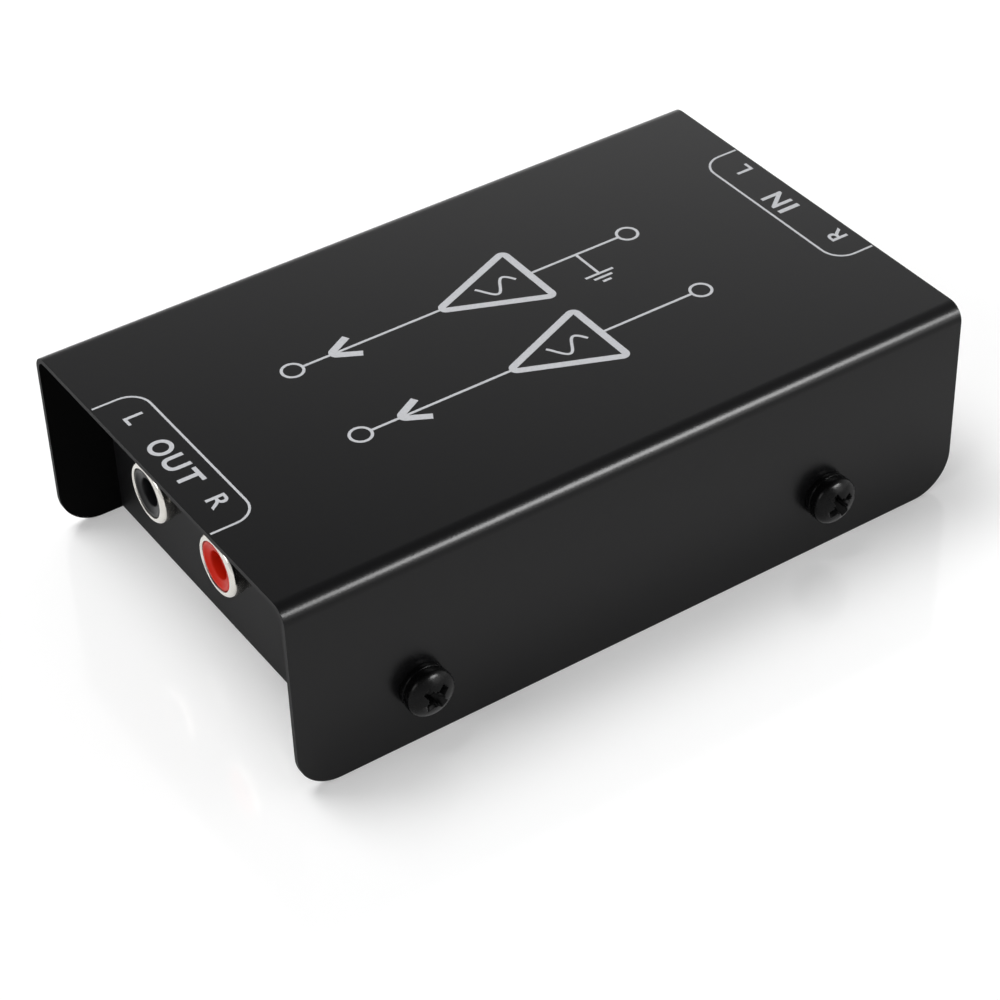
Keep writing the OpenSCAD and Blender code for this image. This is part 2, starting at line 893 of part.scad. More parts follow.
module coupling_capacitors() {
  color("#2b2b30")
    for (x = coupling_x, side = sides)
      translate([x, side * coupling_row, 0])
        can(coupling_can_diameter, coupling_can_height);
}

module film_capacitors() {
  color("#b5322a")
    for (x = film_x, side = sides)
      translate([x - film_thickness / 2, side * film_row - film_length / 2, board_top])
        cube([film_thickness, film_length, film_height]);
}

// Lacquered body with a bulge over each end cap
module resistor_bodies() {
  cap_length = resistor_length / 5;
  waist = 0.84 * resistor_diameter;
  color("#6fa8c9")
    for (x = resistor_x, side = sides)
      translate([x, side * resistor_row, resistor_axis])
        rotate([90, 0, 0]) {
          cylinder(d = waist, h = resistor_length, center = true);
          for (end = sides)
            translate([0, 0, end * (resistor_length - cap_length) / 2])
              cylinder(d = resistor_diameter, h = cap_length, center = true);
        }
}

module polarity_diode() {
  color("#1a1a1c")
    translate([diode_x, diode_y, diode_axis])
      rotate([90, 0, 0])
        cylinder(d = diode_diameter, h = diode_length, center = true);
}

// Wire from the end of a lying body, over a ball at the corner and down through the board
module bent_lead(place, body_end, height) {
  lead(place, height);
  translate([place[0], place[1], height])
    sphere(d = lead_diameter);
  translate([place[0], (place[1] + body_end) / 2, height])
    rotate([90, 0, 0])
      cylinder(d = lead_diameter, h = abs(place[1] - body_end), center = true);
}

module component_leads() {
  color("#c9c9cc") {
    for (x = resistor_x, s = sides, e = sides)
      bent_lead([x, s * resistor_row + e * resistor_lead_span / 2],
                s * resistor_row + e * resistor_length / 2, resistor_axis);
    for (e = sides)
      bent_lead([diode_x, diode_y + e * diode_lead_span / 2], diode_y + e * diode_length / 2, diode_axis);
    for (place = concat(film_leads, coupling_leads, supply_leads))
      lead(place, board_top);
    for (place = regulator_leads)
      lead(place, board_top + regulator_lift);
  }
}

// ---- Nodes ----

top_cover();
base_tray();
cover_screws();
circuit_board();
board_standoffs();
board_screws();
socket_block(-1);  // output_socket_block
socket_shells(-1);  // output_shells
color("#1a1a1c") socket_insulator(-1, socket_y[0]);  // output_insulator_left
color("#c0341f") socket_insulator(-1, socket_y[1]);  // output_insulator_right
centre_contacts(-1);  // output_centre_contacts
ground_tabs(-1);  // output_ground_tabs
socket_block(1);  // input_socket_block
socket_shells(1);  // input_shells
color("#1a1a1c") socket_insulator(1, socket_y[0]);  // input_insulator_left
color("#c0341f") socket_insulator(1, socket_y[1]);  // input_insulator_right
centre_contacts(1);  // input_centre_contacts
ground_tabs(1);  // input_ground_tabs
ground_post();
ground_lug();
ground_wire();
tooth_washer();
lock_nut();
clamp_washer();
thumb_nut();
power_socket_body();
power_socket_pin();
power_socket_contact();
amplifier_chip();
chip_socket();
chip_pins();
voltage_regulator();
supply_capacitors();
coupling_capacitors();
film_capacitors();
resistor_bodies();
polarity_diode();
component_leads();
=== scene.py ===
"""Dresses the phono preamp: a folded black cover over a tray, with two phono sockets at each end.

Lengths in the classes are millimetres. Meshes are made in metres in the frame's own axes: +X points
to the input end, -Y to the front flange and +Z up, with the origin in the middle of the underside.
"""

import logging
import math
from abc import ABC, abstractmethod
from collections.abc import Iterable, Sequence
from dataclasses import dataclass, field
from enum import Enum
from typing import Any

import bmesh
import bpy
from bmesh.types import BMesh, BMVert
from bpy.types import Material, Mesh, Node, NodeSocket, NodeTree, Object
from mathutils import Euler, Matrix, Vector


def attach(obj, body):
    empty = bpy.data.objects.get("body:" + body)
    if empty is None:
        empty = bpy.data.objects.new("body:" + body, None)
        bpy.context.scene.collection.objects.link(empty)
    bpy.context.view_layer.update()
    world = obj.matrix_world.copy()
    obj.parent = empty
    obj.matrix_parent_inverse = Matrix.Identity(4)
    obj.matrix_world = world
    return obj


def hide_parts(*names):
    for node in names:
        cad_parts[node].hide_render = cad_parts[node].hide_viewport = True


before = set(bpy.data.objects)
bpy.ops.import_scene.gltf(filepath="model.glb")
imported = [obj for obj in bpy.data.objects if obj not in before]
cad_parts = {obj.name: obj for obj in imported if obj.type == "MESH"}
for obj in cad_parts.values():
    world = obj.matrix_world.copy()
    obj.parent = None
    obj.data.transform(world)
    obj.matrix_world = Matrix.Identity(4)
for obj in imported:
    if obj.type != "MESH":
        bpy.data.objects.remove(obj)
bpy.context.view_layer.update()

MM = 0.001
Point2 = tuple[float, float]
Point3 = tuple[float, float, float]
Colour = tuple[float, float, float, float]
# Points along a line, and whether the line closes
Line2 = tuple[Sequence[Point2], bool]
Line3 = tuple[Sequence[Point3], bool]
# A place in millimetres and the turn of the piece that stands there
Spot = tuple[Point3, Euler]
# What mixes a finish's colours, what stands up in relief, and the relief's depth in millimetres
Pattern = tuple[NodeSocket, NodeSocket | None, float]
WHITE: Colour = (1.0, 1.0, 1.0, 1.0)
STILL = Euler((0, 0, 0))
# Most of a noise lies between these two values
NOISE_RANGE: Point2 = (0.3, 0.7)
# Length of one band of a wave texture whose scale is 1
WAVE_LENGTH = 0.314
SEED = 7
# A metric thread is cut 0.54 of its pitch deep. Its screw line is drawn in this many rings a turn.
THREAD_DEPTH_SHARE = 0.54
RINGS_PER_TURN = 6
# Points round a wire, points along a path's corner, and the angle in degrees that stays sharp on both
WIRE_STEPS = 16
CORNER_STEPS = 8
PATH_CREASE = 35
# Points drawn for each groove of a knurl
KNURL_STEPS = 8
# A CAD node's loose triangles are merged over this length, and its flats over this angle in degrees
MERGE_MM = 0.002
FLAT_ANGLE = 0.4


class Body(Enum):
    """The bodies of the frame that pieces ride on."""

    CASE = "case"
    WASHER = "clamp_washer"
    NUT = "thumb_nut"


class Slot(Enum):
    """The record's material slots."""

    COVER = "powder_coat_cover"
    TRAY = "powder_coat_tray"
    SCREW = "black_oxide_steel"
    NICKEL = "nickel_plate"
    BLACK_INSERT = "gloss_black_insert"
    RED_INSERT = "gloss_red_insert"
    MOULDED = "moulded_black"
    BRONZE = "contact_bronze"
    TINNED = "tinned_copper"
    ZINC = "zinc_steel"
    BOARD = "board_laminate"
    EPOXY = "chip_epoxy"
    BLUE_SLEEVE = "blue_can_sleeve"
    BLACK_SLEEVE = "black_can_sleeve"
    RED_FILM = "red_film_box"
    LACQUER = "resistor_lacquer"
    WIRE = "green_wire_sleeve"


class End(Enum):
    """The two ends of the case, as the sign of X."""

    OUTPUT = -1
    INPUT = 1


# ---- Colours and nodes ----


def linear(code: str) -> Colour:
    """Turn an sRGB hex colour such as "2b2b2b" into linear red, green, blue and alpha.

    Args:
        code: The colour as six hex digits.

    Returns:
        Linear red, green, blue and alpha.
    """
    channels = [int(code[i:i + 2], 16) / 255 for i in (0, 2, 4)]
    red, green, blue = (c / 12.92 if c <= 0.04045 else ((c + 0.055) / 1.055) ** 2.4 for c in channels)
    return (red, green, blue, 1.0)


def fill_inputs(tree: NodeTree, node: Node, inputs: dict[str | int, Any]) -> None:
    """Set or link some of a node's inputs.

    Args:
        tree: The node's tree.
        node: The node.
        inputs: A value or an output socket for each input, by name or number.
    """
    for key, value in inputs.items():
        if isinstance(value, NodeSocket):
            tree.links.new(value, node.inputs[key])
        else:
            node.inputs[key].default_value = value


def add_node(
    tree: NodeTree,
    kind: str,
    settings: dict[str, Any] | None = None,
    inputs: dict[str | int, Any] | None = None,
) -> Node:
    """Add one node to a tree.

    Args:
        tree: The tree that gets the node.
        kind: The node's type, such as "ShaderNodeBump".
        settings: The node's own properties.
        inputs: A value or an output socket for each input, by name or number.

    Returns:
        The new node.
    """
    node = tree.nodes.new(kind)
    for name, value in (settings or {}).items():
        setattr(node, name, value)
    fill_inputs(tree, node, inputs or {})
    return node


# ---- Finishes ----


@dataclass(frozen=True)
class Finish(ABC):
    """What one surface is made of and how it was finished.

    A pattern mixes two close colours. The roughness is one value, or a range that the pattern runs
    through. Where the index of refraction or the reflectance is None, the shader keeps its own.
    """

    name: str
    colour: str = "808080"
    second_colour: str = "808080"
    roughness: float | Point2 = 0.5
    ior: float | None = None
    reflectance: float | None = None

    @abstractmethod
    def pattern(self, tree: NodeTree, place: NodeSocket) -> Pattern:
        """Draw the pattern of the finish.

        Args:
            tree: The material's tree.
            place: Object coordinates in metres.

        Returns:
            What mixes the colours, what stands up in relief, and the relief's depth in millimetres.
        """

    def extras(self, tree: NodeTree) -> dict[str, Any]:
        """Value or link for each socket of the shader that this finish alone sets."""
        return {}

    def build(self) -> Material:
        """Make the material.

        Returns:
            The material, with its pattern laid in Object coordinates.
        """
        material = bpy.data.materials.new(self.name)
        material.use_nodes = True
        tree = material.node_tree
        place = add_node(tree, "ShaderNodeTexCoord").outputs["Object"]
        mix, height, depth_mm = self.pattern(tree, place)
        rough = self.roughness
        chosen = {
            "Base Color": blend_colours(tree, mix, self.colour, self.second_colour),
            "Roughness": spread(tree, mix, *rough) if isinstance(rough, tuple) else rough,
            "IOR": self.ior,
            "Specular IOR Level": self.reflectance,
            "Normal": None if height is None else relief(tree, height, depth_mm),
            **self.extras(tree),
        }
        given = {name: value for name, value in chosen.items() if value is not None}
        fill_inputs(tree, tree.nodes["Principled BSDF"], given)
        return material


def speckle(tree: NodeTree, place: NodeSocket, size_mm: float, detail: float = 2.0) -> NodeSocket:
    """Even noise whose grains are about the given size.

    Args:
        tree: The material's tree.
        place: Object coordinates in metres.
        size_mm: Width of one grain.
        detail: Octaves of finer grain within it.

    Returns:
        The noise, from 0 to 1.
    """
    inputs = {"Vector": place, "Scale": 1 / (size_mm * MM), "Detail": detail, "Roughness": 0.5}
    return add_node(tree, "ShaderNodeTexNoise", inputs=inputs).outputs["Fac"]


def spread(tree: NodeTree, value: NodeSocket, low: float, high: float) -> NodeSocket:
    """Stretch the middle of a noise over the range from low to high."""
    ends = {"From Min": NOISE_RANGE[0], "From Max": NOISE_RANGE[1], "To Min": low, "To Max": high}
    return add_node(tree, "ShaderNodeMapRange", inputs={"Value": value, **ends}).outputs["Result"]


def blend_colours(tree: NodeTree, factor: NodeSocket, first: str, second: str) -> NodeSocket:
    """Mix two sRGB hex colours by a factor socket."""
    inputs = {0: factor, 6: linear(first), 7: linear(second)}
    return add_node(tree, "ShaderNodeMix", {"data_type": "RGBA"}, inputs).outputs[2]


def relief(tree: NodeTree, height: NodeSocket, depth_mm: float) -> NodeSocket:
    """Turn a height pattern of the given depth into a normal."""
    inputs = {"Strength": 1.0, "Distance": depth_mm * MM, "Height": height}
    return add_node(tree, "ShaderNodeBump", inputs=inputs).outputs["Normal"]


@dataclass(frozen=True)
class PowderCoat(Finish):
    """Epoxy-polyester powder, sprayed and baked on steel: satin black with a fine, even grain."""

    colour: str = "0a0a0b"
    second_colour: str = "101011"
    roughness: float = 0.27
    ior: float = 1.42
    reflectance: float = 0.225
    # Baked powder flows into grains of about 0.2 mm. They are drawn a little coarser, so that they
    # still show at the distance from which the whole case is seen.
    grain_mm: float = 0.34
    grain_depth_mm: float = 0.007

    def pattern(self, tree: NodeTree, place: NodeSocket) -> Pattern:
        """Even grain, both in the colour and in relief."""
        grain = speckle(tree, place, self.grain_mm, 1.0)
        return grain, grain, self.grain_depth_mm


@dataclass(frozen=True)
class BlackScrewSteel(Finish):
    """Steel screws in a black oxide sealed with oil: deep black with a clear gloss."""

    colour: str = "040405"
    second_colour: str = "090909"
    roughness: Point2 = (0.2, 0.3)
    ior: float = 1.45
    reflectance: float = 0.13
    grain_mm: float = 0.5
    grain_depth_mm: float = 0.003

    def pattern(self, tree: NodeTree, place: NodeSocket) -> Pattern:
        """Uneven grain, both in the colour and in relief."""
        grain = speckle(tree, place, self.grain_mm, 3.0)
        return grain, grain, self.grain_depth_mm


@dataclass(frozen=True)
class PlatedMetal(Finish):
    """Bright plating over turned or stamped metal, with fine marks that run round the X axis."""

    colour: str = "dbd9d4"
    second_colour: str = "c6c3bc"
    roughness: Point2 = (0.14, 0.24)
    # Turning marks are spaced as the feed of the tool
    mark_mm: float = 0.12
    mark_depth_mm: float = 0.0012
    stain_mm: float = 1.8

    def pattern(self, tree: NodeTree, place: NodeSocket) -> Pattern:
        """Draw wide stains in the colour and turning marks in relief.

        Args:
            tree: The material's tree.
            place: Object coordinates in metres.

        Returns:
            The stains, the marks and the marks' depth in millimetres.
        """
        along = add_node(tree, "ShaderNodeSeparateXYZ", inputs={0: place}).outputs["X"]
        inputs = {"W": along, "Scale": 1 / (self.mark_mm * MM), "Detail": 2.0}
        marks = add_node(tree, "ShaderNodeTexNoise", {"noise_dimensions": "1D"}, inputs).outputs["Fac"]
        return speckle(tree, place, self.stain_mm, 3.0), marks, self.mark_depth_mm

    def extras(self, tree: NodeTree) -> dict[str, Any]:
        """Metal is metal all through."""
        return {"Metallic": 1.0}


@dataclass(frozen=True)
class MouldedPlastic(Finish):
    """Injection-moulded plastic, whose surface repeats the polish or the spark grain of its mould."""

    colour: str = "161617"
    second_colour: str = "1d1d1f"
    roughness: Point2 = (0.42, 0.5)
    ior: float = 1.53
    reflectance: float = 0.5
    grain_mm: float = 0.15
    grain_depth_mm: float = 0.004
    flow_mm: float = 3.0
    # Share of the light that goes into the plastic, and how far it goes
    sub_surface: float = 0.0
    sub_surface_mm: float = 0.3

    def pattern(self, tree: NodeTree, place: NodeSocket) -> Pattern:
        """Flow of the melt in the colour, and the mould's grain in relief."""
        flow = speckle(tree, place, self.flow_mm, 2.0)
        return flow, speckle(tree, place, self.grain_mm, 1.0), self.grain_depth_mm

    def extras(self, tree: NodeTree) -> dict[str, Any]:
        """Light that goes into the plastic, where it does."""
        light = {"Subsurface Weight": self.sub_surface, "Subsurface Scale": self.sub_surface_mm * MM}
        return light if self.sub_surface > 0 else {}


@dataclass(frozen=True)
class ScreenInk(Finish):
    """Pale screen-printing ink: a matt film whose cover is slightly uneven from the mesh."""

    colour: str = "cecfd2"
    second_colour: str = "b4b5b9"
    roughness: Point2 = (0.5, 0.62)
    ior: float = 1.48
    # The mesh leaves a pattern of about 0.12 mm, drawn coarser so that it still shows
    mesh_mm: float = 0.3
    mesh_depth_mm: float = 0.004

    def pattern(self, tree: NodeTree, place: NodeSocket) -> Pattern:
        """The mesh's mark, both in the colour and in relief."""
        mesh = speckle(tree, place, self.mesh_mm, 2.0)
        return mesh, mesh, self.mesh_depth_mm


@dataclass(frozen=True)
class Laminate(Finish):
    """Glass-cloth laminate under green solder mask: glossy, with the weave faintly through it."""

    colour: str = "1c5233"
    second_colour: str = "236440"
    roughness: float = 0.3
    ior: float = 1.52
    # Threads of the glass cloth lie about 0.5 mm apart
    thread_mm: float = 0.5
    thread_depth_mm: float = 0.004

    def pattern(self, tree: NodeTree, place: NodeSocket) -> Pattern:
        """Draw the weave of the cloth, both in the colour and in relief.

        Args:
            tree: The material's tree.
            place: Object coordinates in metres.

        Returns:
            The weave twice, and its depth in millimetres.
        """
        inputs = {"Vector": place, "Scale": WAVE_LENGTH / (self.thread_mm * MM), "Distortion": 0.4}
        threads = []
        for direction in ("X", "Y"):
            bands = {"wave_type": "BANDS", "bands_direction": direction}
            threads.append(add_node(tree, "ShaderNodeTexWave", bands, inputs).outputs["Fac"])
        warp, weft = threads
        weave = add_node(tree, "ShaderNodeMath", {"operation": "MAXIMUM"}, {0: warp, 1: weft}).outputs[0]
        return weave, weave, self.thread_depth_mm


@dataclass(frozen=True)
class Paper(Finish):
    """Varnished white card: it takes a soft shadow and a faint mirror image, and stays white."""

    colour: str = "f2f2f2"
    second_colour: str = "eeeeee"
    roughness: float = 0.1
    ior: float = 1.9
    # The card's own light is seen by the eye, in gloss and through glass, and lights no piece
    own_light: float = 0.25
    # How strongly the varnish mirrors the object to the eye. Other rays meet bare card.
    varnish: float = 0.5
    fibre_mm: float = 0.6

    def pattern(self, tree: NodeTree, place: NodeSocket) -> Pattern:
        """Fibres in the colour alone."""
        return speckle(tree, place, self.fibre_mm, 2.0), None, 0.0

    def extras(self, tree: NodeTree) -> dict[str, Any]:
        """Mirror the object to the eye alone, and stay white to every ray that is seen.

        Args:
            tree: The material's tree.

        Returns:
            A value or an output socket for each socket that this finish alone sets.
        """
        path = add_node(tree, "ShaderNodeLightPath").outputs
        eye = seen = path["Is Camera Ray"]
        for name in ("Is Glossy Ray", "Is Transmission Ray"):
            either = {0: seen, 1: path[name]}
            seen = add_node(tree, "ShaderNodeMath", {"operation": "MAXIMUM"}, either).outputs[0]
        mirror, light = (
            add_node(tree, "ShaderNodeMath", {"operation": "MULTIPLY"}, {0: ray, 1: share}).outputs[0]
            for ray, share in ((eye, self.varnish), (seen, self.own_light))
        )
        return {"Specular IOR Level": mirror, "Emission Color": WHITE, "Emission Strength": light}


FINISHES: dict[Slot, Finish] = {
    Slot.COVER: PowderCoat("powder_coat_satin_black"),
    Slot.TRAY: PowderCoat("powder_coat_tray_black", "0d0d0e", "141415", roughness=0.5, reflectance=0.1),
    Slot.SCREW: BlackScrewSteel("black_oxide_screw_steel"),
    Slot.NICKEL: PlatedMetal("bright_nickel_plate"),
    Slot.BLACK_INSERT: MouldedPlastic(
        "polished_black_insert", "101011", "161618", (0.28, 0.36), grain_mm=0.4, grain_depth_mm=0.002,
        reflectance=0.12,
    ),
    Slot.RED_INSERT: MouldedPlastic(
        "polished_red_insert", "c01c0a", "c8230e", (0.28, 0.36), grain_mm=0.4, grain_depth_mm=0.002,
        reflectance=0.08, sub_surface=0.1,
    ),
    Slot.MOULDED: MouldedPlastic("spark_grain_black_nylon", grain_mm=0.2, grain_depth_mm=0.008),
    Slot.BRONZE: PlatedMetal("phosphor_bronze_strip", "d3a862", "b98d4c", (0.22, 0.34), mark_depth_mm=0.0006),
    Slot.TINNED: PlatedMetal("tinned_copper_strip", "c9c9c6", "b2b2af", (0.3, 0.45), mark_depth_mm=0.0006),
    Slot.ZINC: PlatedMetal("bright_zinc_steel", "c3c7cb", "adb3b8", (0.26, 0.38), mark_depth_mm=0.001),
    Slot.BOARD: Laminate("green_masked_glass_laminate"),
    Slot.EPOXY: MouldedPlastic("moulded_epoxy_case", "1b1b1c", "222223", (0.5, 0.6), grain_depth_mm=0.01),
    Slot.BLUE_SLEEVE: MouldedPlastic("blue_shrink_sleeve", "22345c", "273b67", (0.24, 0.34), grain_mm=0.8),
    Slot.BLACK_SLEEVE: MouldedPlastic("black_shrink_sleeve", "1d1d20", "242428", (0.24, 0.34), grain_mm=0.8),
    Slot.RED_FILM: MouldedPlastic("red_moulded_film_box", "9e2a22", "ab3128", (0.3, 0.4), grain_mm=0.6),
    Slot.LACQUER: MouldedPlastic(
        "pale_blue_resistor_lacquer", "6a9fc0", "76abc9", (0.22, 0.34), grain_mm=0.7,
    ),
    Slot.WIRE: MouldedPlastic("green_wire_sleeve_vinyl", "256b30", "2c7838", (0.3, 0.4), grain_mm=0.6),
}
# The powder goes on thinly inside the cover and stays dull. Its darker colour is also painted shade, so that
# the inside of the cover reads black where shade falls.
INNER_COAT_WITH_PAINTED_SHADE = PowderCoat("thin_powder_inside_cover", "040404", "060606", roughness=0.9, reflectance=0.08)
# It draws back from the sheared edges, which stay duller than the faces
EDGE_COAT = PowderCoat("thin_powder_on_sheared_edges", "151516", "1b1b1c", roughness=0.6, reflectance=0.2)
INK = ScreenInk("pale_screen_ink")
TRACKS = Laminate("masked_copper_tracks", "2f7a45", "3b8a51")
# Enamel of the resistors' value bands
BANDS: dict[str, Finish] = {
    name: MouldedPlastic(name + "_band_paint", first, second, (0.3, 0.4))
    for name, first, second in (
        ("brown", "4a2511", "552c15"),
        ("black", "0e0e0e", "161616"),
        ("red", "a01c14", "ac241a"),
        ("yellow", "c9a51e", "d2ae28"),
        ("violet", "573a78", "604284"),
    )
}
SOLDER = PlatedMetal("tin_lead_solder", "b9babb", "9fa1a3", (0.2, 0.34), mark_depth_mm=0.0004)
ALUMINIUM = PlatedMetal("plain_can_aluminium", "c8c9ca", "b6b8ba", (0.28, 0.4))


# ---- Mesh drafts ----


def add_ring(draft: BMesh, radii: Sequence[float], heights: Sequence[float]) -> list[BMVert]:
    """Add points that stand evenly round the Z axis.

    Args:
        draft: The draft that gets the points.
        radii: Each point's distance from the axis, in millimetres.
        heights: Each point's height.

    Returns:
        The points in order.
    """
    turns = [2 * math.pi * i / len(radii) for i in range(len(radii))]
    return [
        draft.verts.new((r * MM * math.cos(t), r * MM * math.sin(t), h * MM))
        for r, h, t in zip(radii, heights, turns)
    ]


def skin(draft: BMesh, rings: Sequence[list[BMVert]], closed: bool) -> BMesh:
    """Draw faces from each ring of points to the next.

    Args:
        draft: The draft that holds the rings.
        rings: The rings in order, each with the same number of points.
        closed: True where the last ring joins the first again.

    Returns:
        The draft with its faces outward.
    """
    for lower, upper in zip(rings, [*rings[1:], rings[0]] if closed else rings[1:]):
        for i in range(len(lower)):
            j = (i + 1) % len(lower)
            # A point on the axis stands for its whole ring, and leaves triangles
            corners = dict.fromkeys((lower[i], lower[j], upper[j], upper[i]))
            if len(corners) > 2:
                draft.faces.new(list(corners))
    bmesh.ops.recalc_face_normals(draft, faces=draft.faces)
    return draft


def revolve(profile: Sequence[Point2], segments: int = 64, ring: bool = True) -> BMesh:
    """Turn a profile round the Z axis.

    Args:
        profile: Radius and height of each point, in millimetres.
        segments: Faces round the axis.
        ring: True for a closed profile off the axis, and False for one whose ends lie on it.

    Returns:
        A closed draft with its faces outward.
    """
    draft = bmesh.new()
    rings = []
    for radius, height in profile:
        if radius <= 0:
            rings.append([draft.verts.new((0, 0, height * MM))] * segments)
        else:
            rings.append(add_ring(draft, [radius] * segments, [height] * segments))
    return skin(draft, rings, ring)


def prism(outline: Sequence[Point2], low: float, high: float) -> BMesh:
    """Raise a flat outline, in millimetres, from the height low to the height high.

    Args:
        outline: X and Y of its corners.
        low: Height of the underside.
        high: Height of the top.

    Returns:
        A closed draft with its faces outward.
    """
    draft = bmesh.new()
    floor = [draft.verts.new((x * MM, y * MM, low * MM)) for x, y in outline]
    roof = [draft.verts.new((x * MM, y * MM, high * MM)) for x, y in outline]
    draft.faces.new(floor)
    draft.faces.new(roof)
    for i in range(len(outline)):
        j = (i + 1) % len(outline)
        draft.faces.new([floor[i], floor[j], roof[j], roof[i]])
    bmesh.ops.recalc_face_normals(draft, faces=draft.faces)
    return draft


def wedge(top: Point2, bottom: Point2, high: float, low: float) -> BMesh:
    """Tapered block about the Z axis, from its top rectangle down to its bottom one.

    Args:
        top: Width along X and Y at the top, in millimetres.
        bottom: The same at the underside.
        high: Height of the top.
        low: Height of the underside.

    Returns:
        A closed draft with its faces outward.
    """
    draft = bmesh.new()
    for size, height in ((top, high), (bottom, low)):
        for sx in (-1, 1):
            for sy in (-1, 1):
                draft.verts.new((sx * size[0] / 2 * MM, sy * size[1] / 2 * MM, height * MM))
    bmesh.ops.convex_hull(draft, input=draft.verts)
    bmesh.ops.dissolve_limit(draft, angle_limit=0.01, verts=draft.verts, edges=draft.edges)
    bmesh.ops.recalc_face_normals(draft, faces=draft.faces)
    return draft


def box(low: Point3, high: Point3) -> BMesh:
    """Block between two corners, in millimetres, for a piece whose edges are eased later."""
    (left, near, floor), (right, far, roof) = low, high
    return prism([(left, near), (right, near), (right, far), (left, far)], floor, roof)


def threaded_rod(radius: float, pitch: float, low: float, high: float, steps: int = 40) -> BMesh:
    """Rod along Z with a single-start thread and chamfered ends.

    Args:
        radius: Outer radius of the thread, in millimetres.
        pitch: Distance from turn to turn.
        low: Height of the lower end.
        high: Height of the upper end.
        steps: Faces round the axis.

    Returns:
        A closed draft with its faces outward.
    """
    depth = THREAD_DEPTH_SHARE * pitch
    count = max(4, round((high - low) / pitch * RINGS_PER_TURN))
    draft = bmesh.new()
    rings = []
    for row in range(count + 1):
        height = low + (high - low) * row / count
        edge = min(height - low, high - height)
        limit = radius - depth + edge if edge < depth else radius
        phases = [(height / pitch - i / steps) % 1.0 for i in range(steps)]
        radii = [min(limit, radius - depth * abs(2 * phase - 1)) for phase in phases]
        rings.append(add_ring(draft, radii, [height] * steps))
    for end in (rings[0], rings[-1]):
        draft.faces.new(end)
    return skin(draft, rings, False)


def arc(centre: Point2, radii: Point2, first: float, last: float, steps: int) -> list[Point2]:
    """Points on an ellipse's arc, from the first angle to the last in degrees."""
    turns = [math.radians(first + (last - first) * i / steps) for i in range(steps + 1)]
    return [(centre[0] + radii[0] * math.cos(t), centre[1] + radii[1] * math.sin(t)) for t in turns]


def join(drafts: Iterable[BMesh]) -> BMesh:
    """Put several drafts into one and free them.

    Args:
        drafts: The drafts.

    Returns:
        One draft with all their faces.
    """
    whole = bmesh.new()
    for draft in drafts:
        mesh = bpy.data.meshes.new("draft")
        draft.to_mesh(mesh)
        draft.free()
        whole.from_mesh(mesh)
        bpy.data.meshes.remove(mesh)
    return whole


def place(draft: BMesh, matrix: Matrix) -> BMesh:
    """Move a draft by a matrix in metres, and keep its faces outward under a mirror.

    Args:
        draft: The draft.
        matrix: The matrix.

    Returns:
        The same draft.
    """
    bmesh.ops.transform(draft, matrix=matrix, verts=draft.verts)
    if matrix.determinant() < 0:
        bmesh.ops.reverse_faces(draft, faces=draft.faces)
    return draft


def shift(x: float = 0.0, y: float = 0.0, z: float = 0.0) -> Matrix:
    """Matrix that moves by millimetres."""
    return Matrix.Translation(Vector((x, y, z)) * MM)


def lay(end: End = End.INPUT) -> Matrix:
    """Matrix that turns the Z axis to point out of one end of the case, along X."""
    return Matrix.Rotation(end.value * math.pi / 2, 4, "Y")


def to_object(draft: BMesh, name: str, material: Material, crease: float = 32.0) -> Object:
    """Turn a draft into an object of the scene.

    Args:
        draft: The draft, which is freed.
        name: The object's name.
        material: Its finish.
        crease: Edges that turn by more degrees than this stay sharp.

    Returns:
        The object, at the origin, unturned and unscaled.
    """
    mesh = bpy.data.meshes.new(name)
    draft.to_mesh(mesh)
    draft.free()
    mesh.materials.append(material)
    mesh.shade_smooth()
    mesh.set_sharp_from_angle(angle=math.radians(crease))
    piece = bpy.data.objects.new(name, mesh)
    bpy.context.scene.collection.objects.link(piece)
    return piece


def settle(piece: Object) -> Object:
    """Turn what a piece's modifiers make into its plain mesh, and remove the modifiers.

    Args:
        piece: The piece.

    Returns:
        The same piece.
    """
    bpy.context.view_layer.update()
    depsgraph = bpy.context.evaluated_depsgraph_get()
    mesh = bpy.data.meshes.new_from_object(
        piece.evaluated_get(depsgraph), preserve_all_data_layers=True, depsgraph=depsgraph
    )
    old = piece.data
    piece.modifiers.clear()
    piece.data = mesh
    mesh.name = piece.name
    if old.users == 0:
        bpy.data.meshes.remove(old)
    return piece


def discard(piece: Object) -> None:
    """Remove a helper object and its mesh.

    Args:
        piece: The helper.
    """
    mesh = piece.data
    bpy.data.objects.remove(piece)
    if mesh.users == 0:
        bpy.data.meshes.remove(mesh)


def to_draft(piece: Object) -> BMesh:
    """Turn a helper object back into a draft.

    Args:
        piece: The helper, which is removed.

    Returns:
        The draft.
    """
    draft = bmesh.new()
    draft.from_mesh(piece.data)
    discard(piece)
    return draft


def carve(piece: Object, tool: BMesh) -> None:
    """Cut a closed draft out of a piece.

    Args:
        piece: The piece.
        tool: The draft, which is freed.
    """
    cutter = to_object(tool, piece.name + "_tool", piece.data.materials[0])
    modifier = piece.modifiers.new("carve", "BOOLEAN")
    modifier.operation = "DIFFERENCE"
    modifier.solver = "EXACT"
    modifier.object = cutter
    settle(piece)
    discard(cutter)


def ease(piece: Object, width: float, crease: float = 30.0, segments: int = 2) -> Object:
    """Round a piece's sharp edges over a width in millimetres, with flat faces kept flat.

    Args:
        piece: The piece.
        width: Width of the rounding.
        crease: Edges that turn by more degrees than this are rounded.
        segments: Faces across the rounding.

    Returns:
        The same piece.
    """
    modifier = piece.modifiers.new("ease", "BEVEL")
    modifier.width = width * MM
    modifier.segments = segments
    modifier.limit_method = "ANGLE"
    modifier.angle_limit = math.radians(crease)
    modifier.harden_normals = True
    modifier.loop_slide = False
    piece.data.shade_smooth()
    return settle(piece)


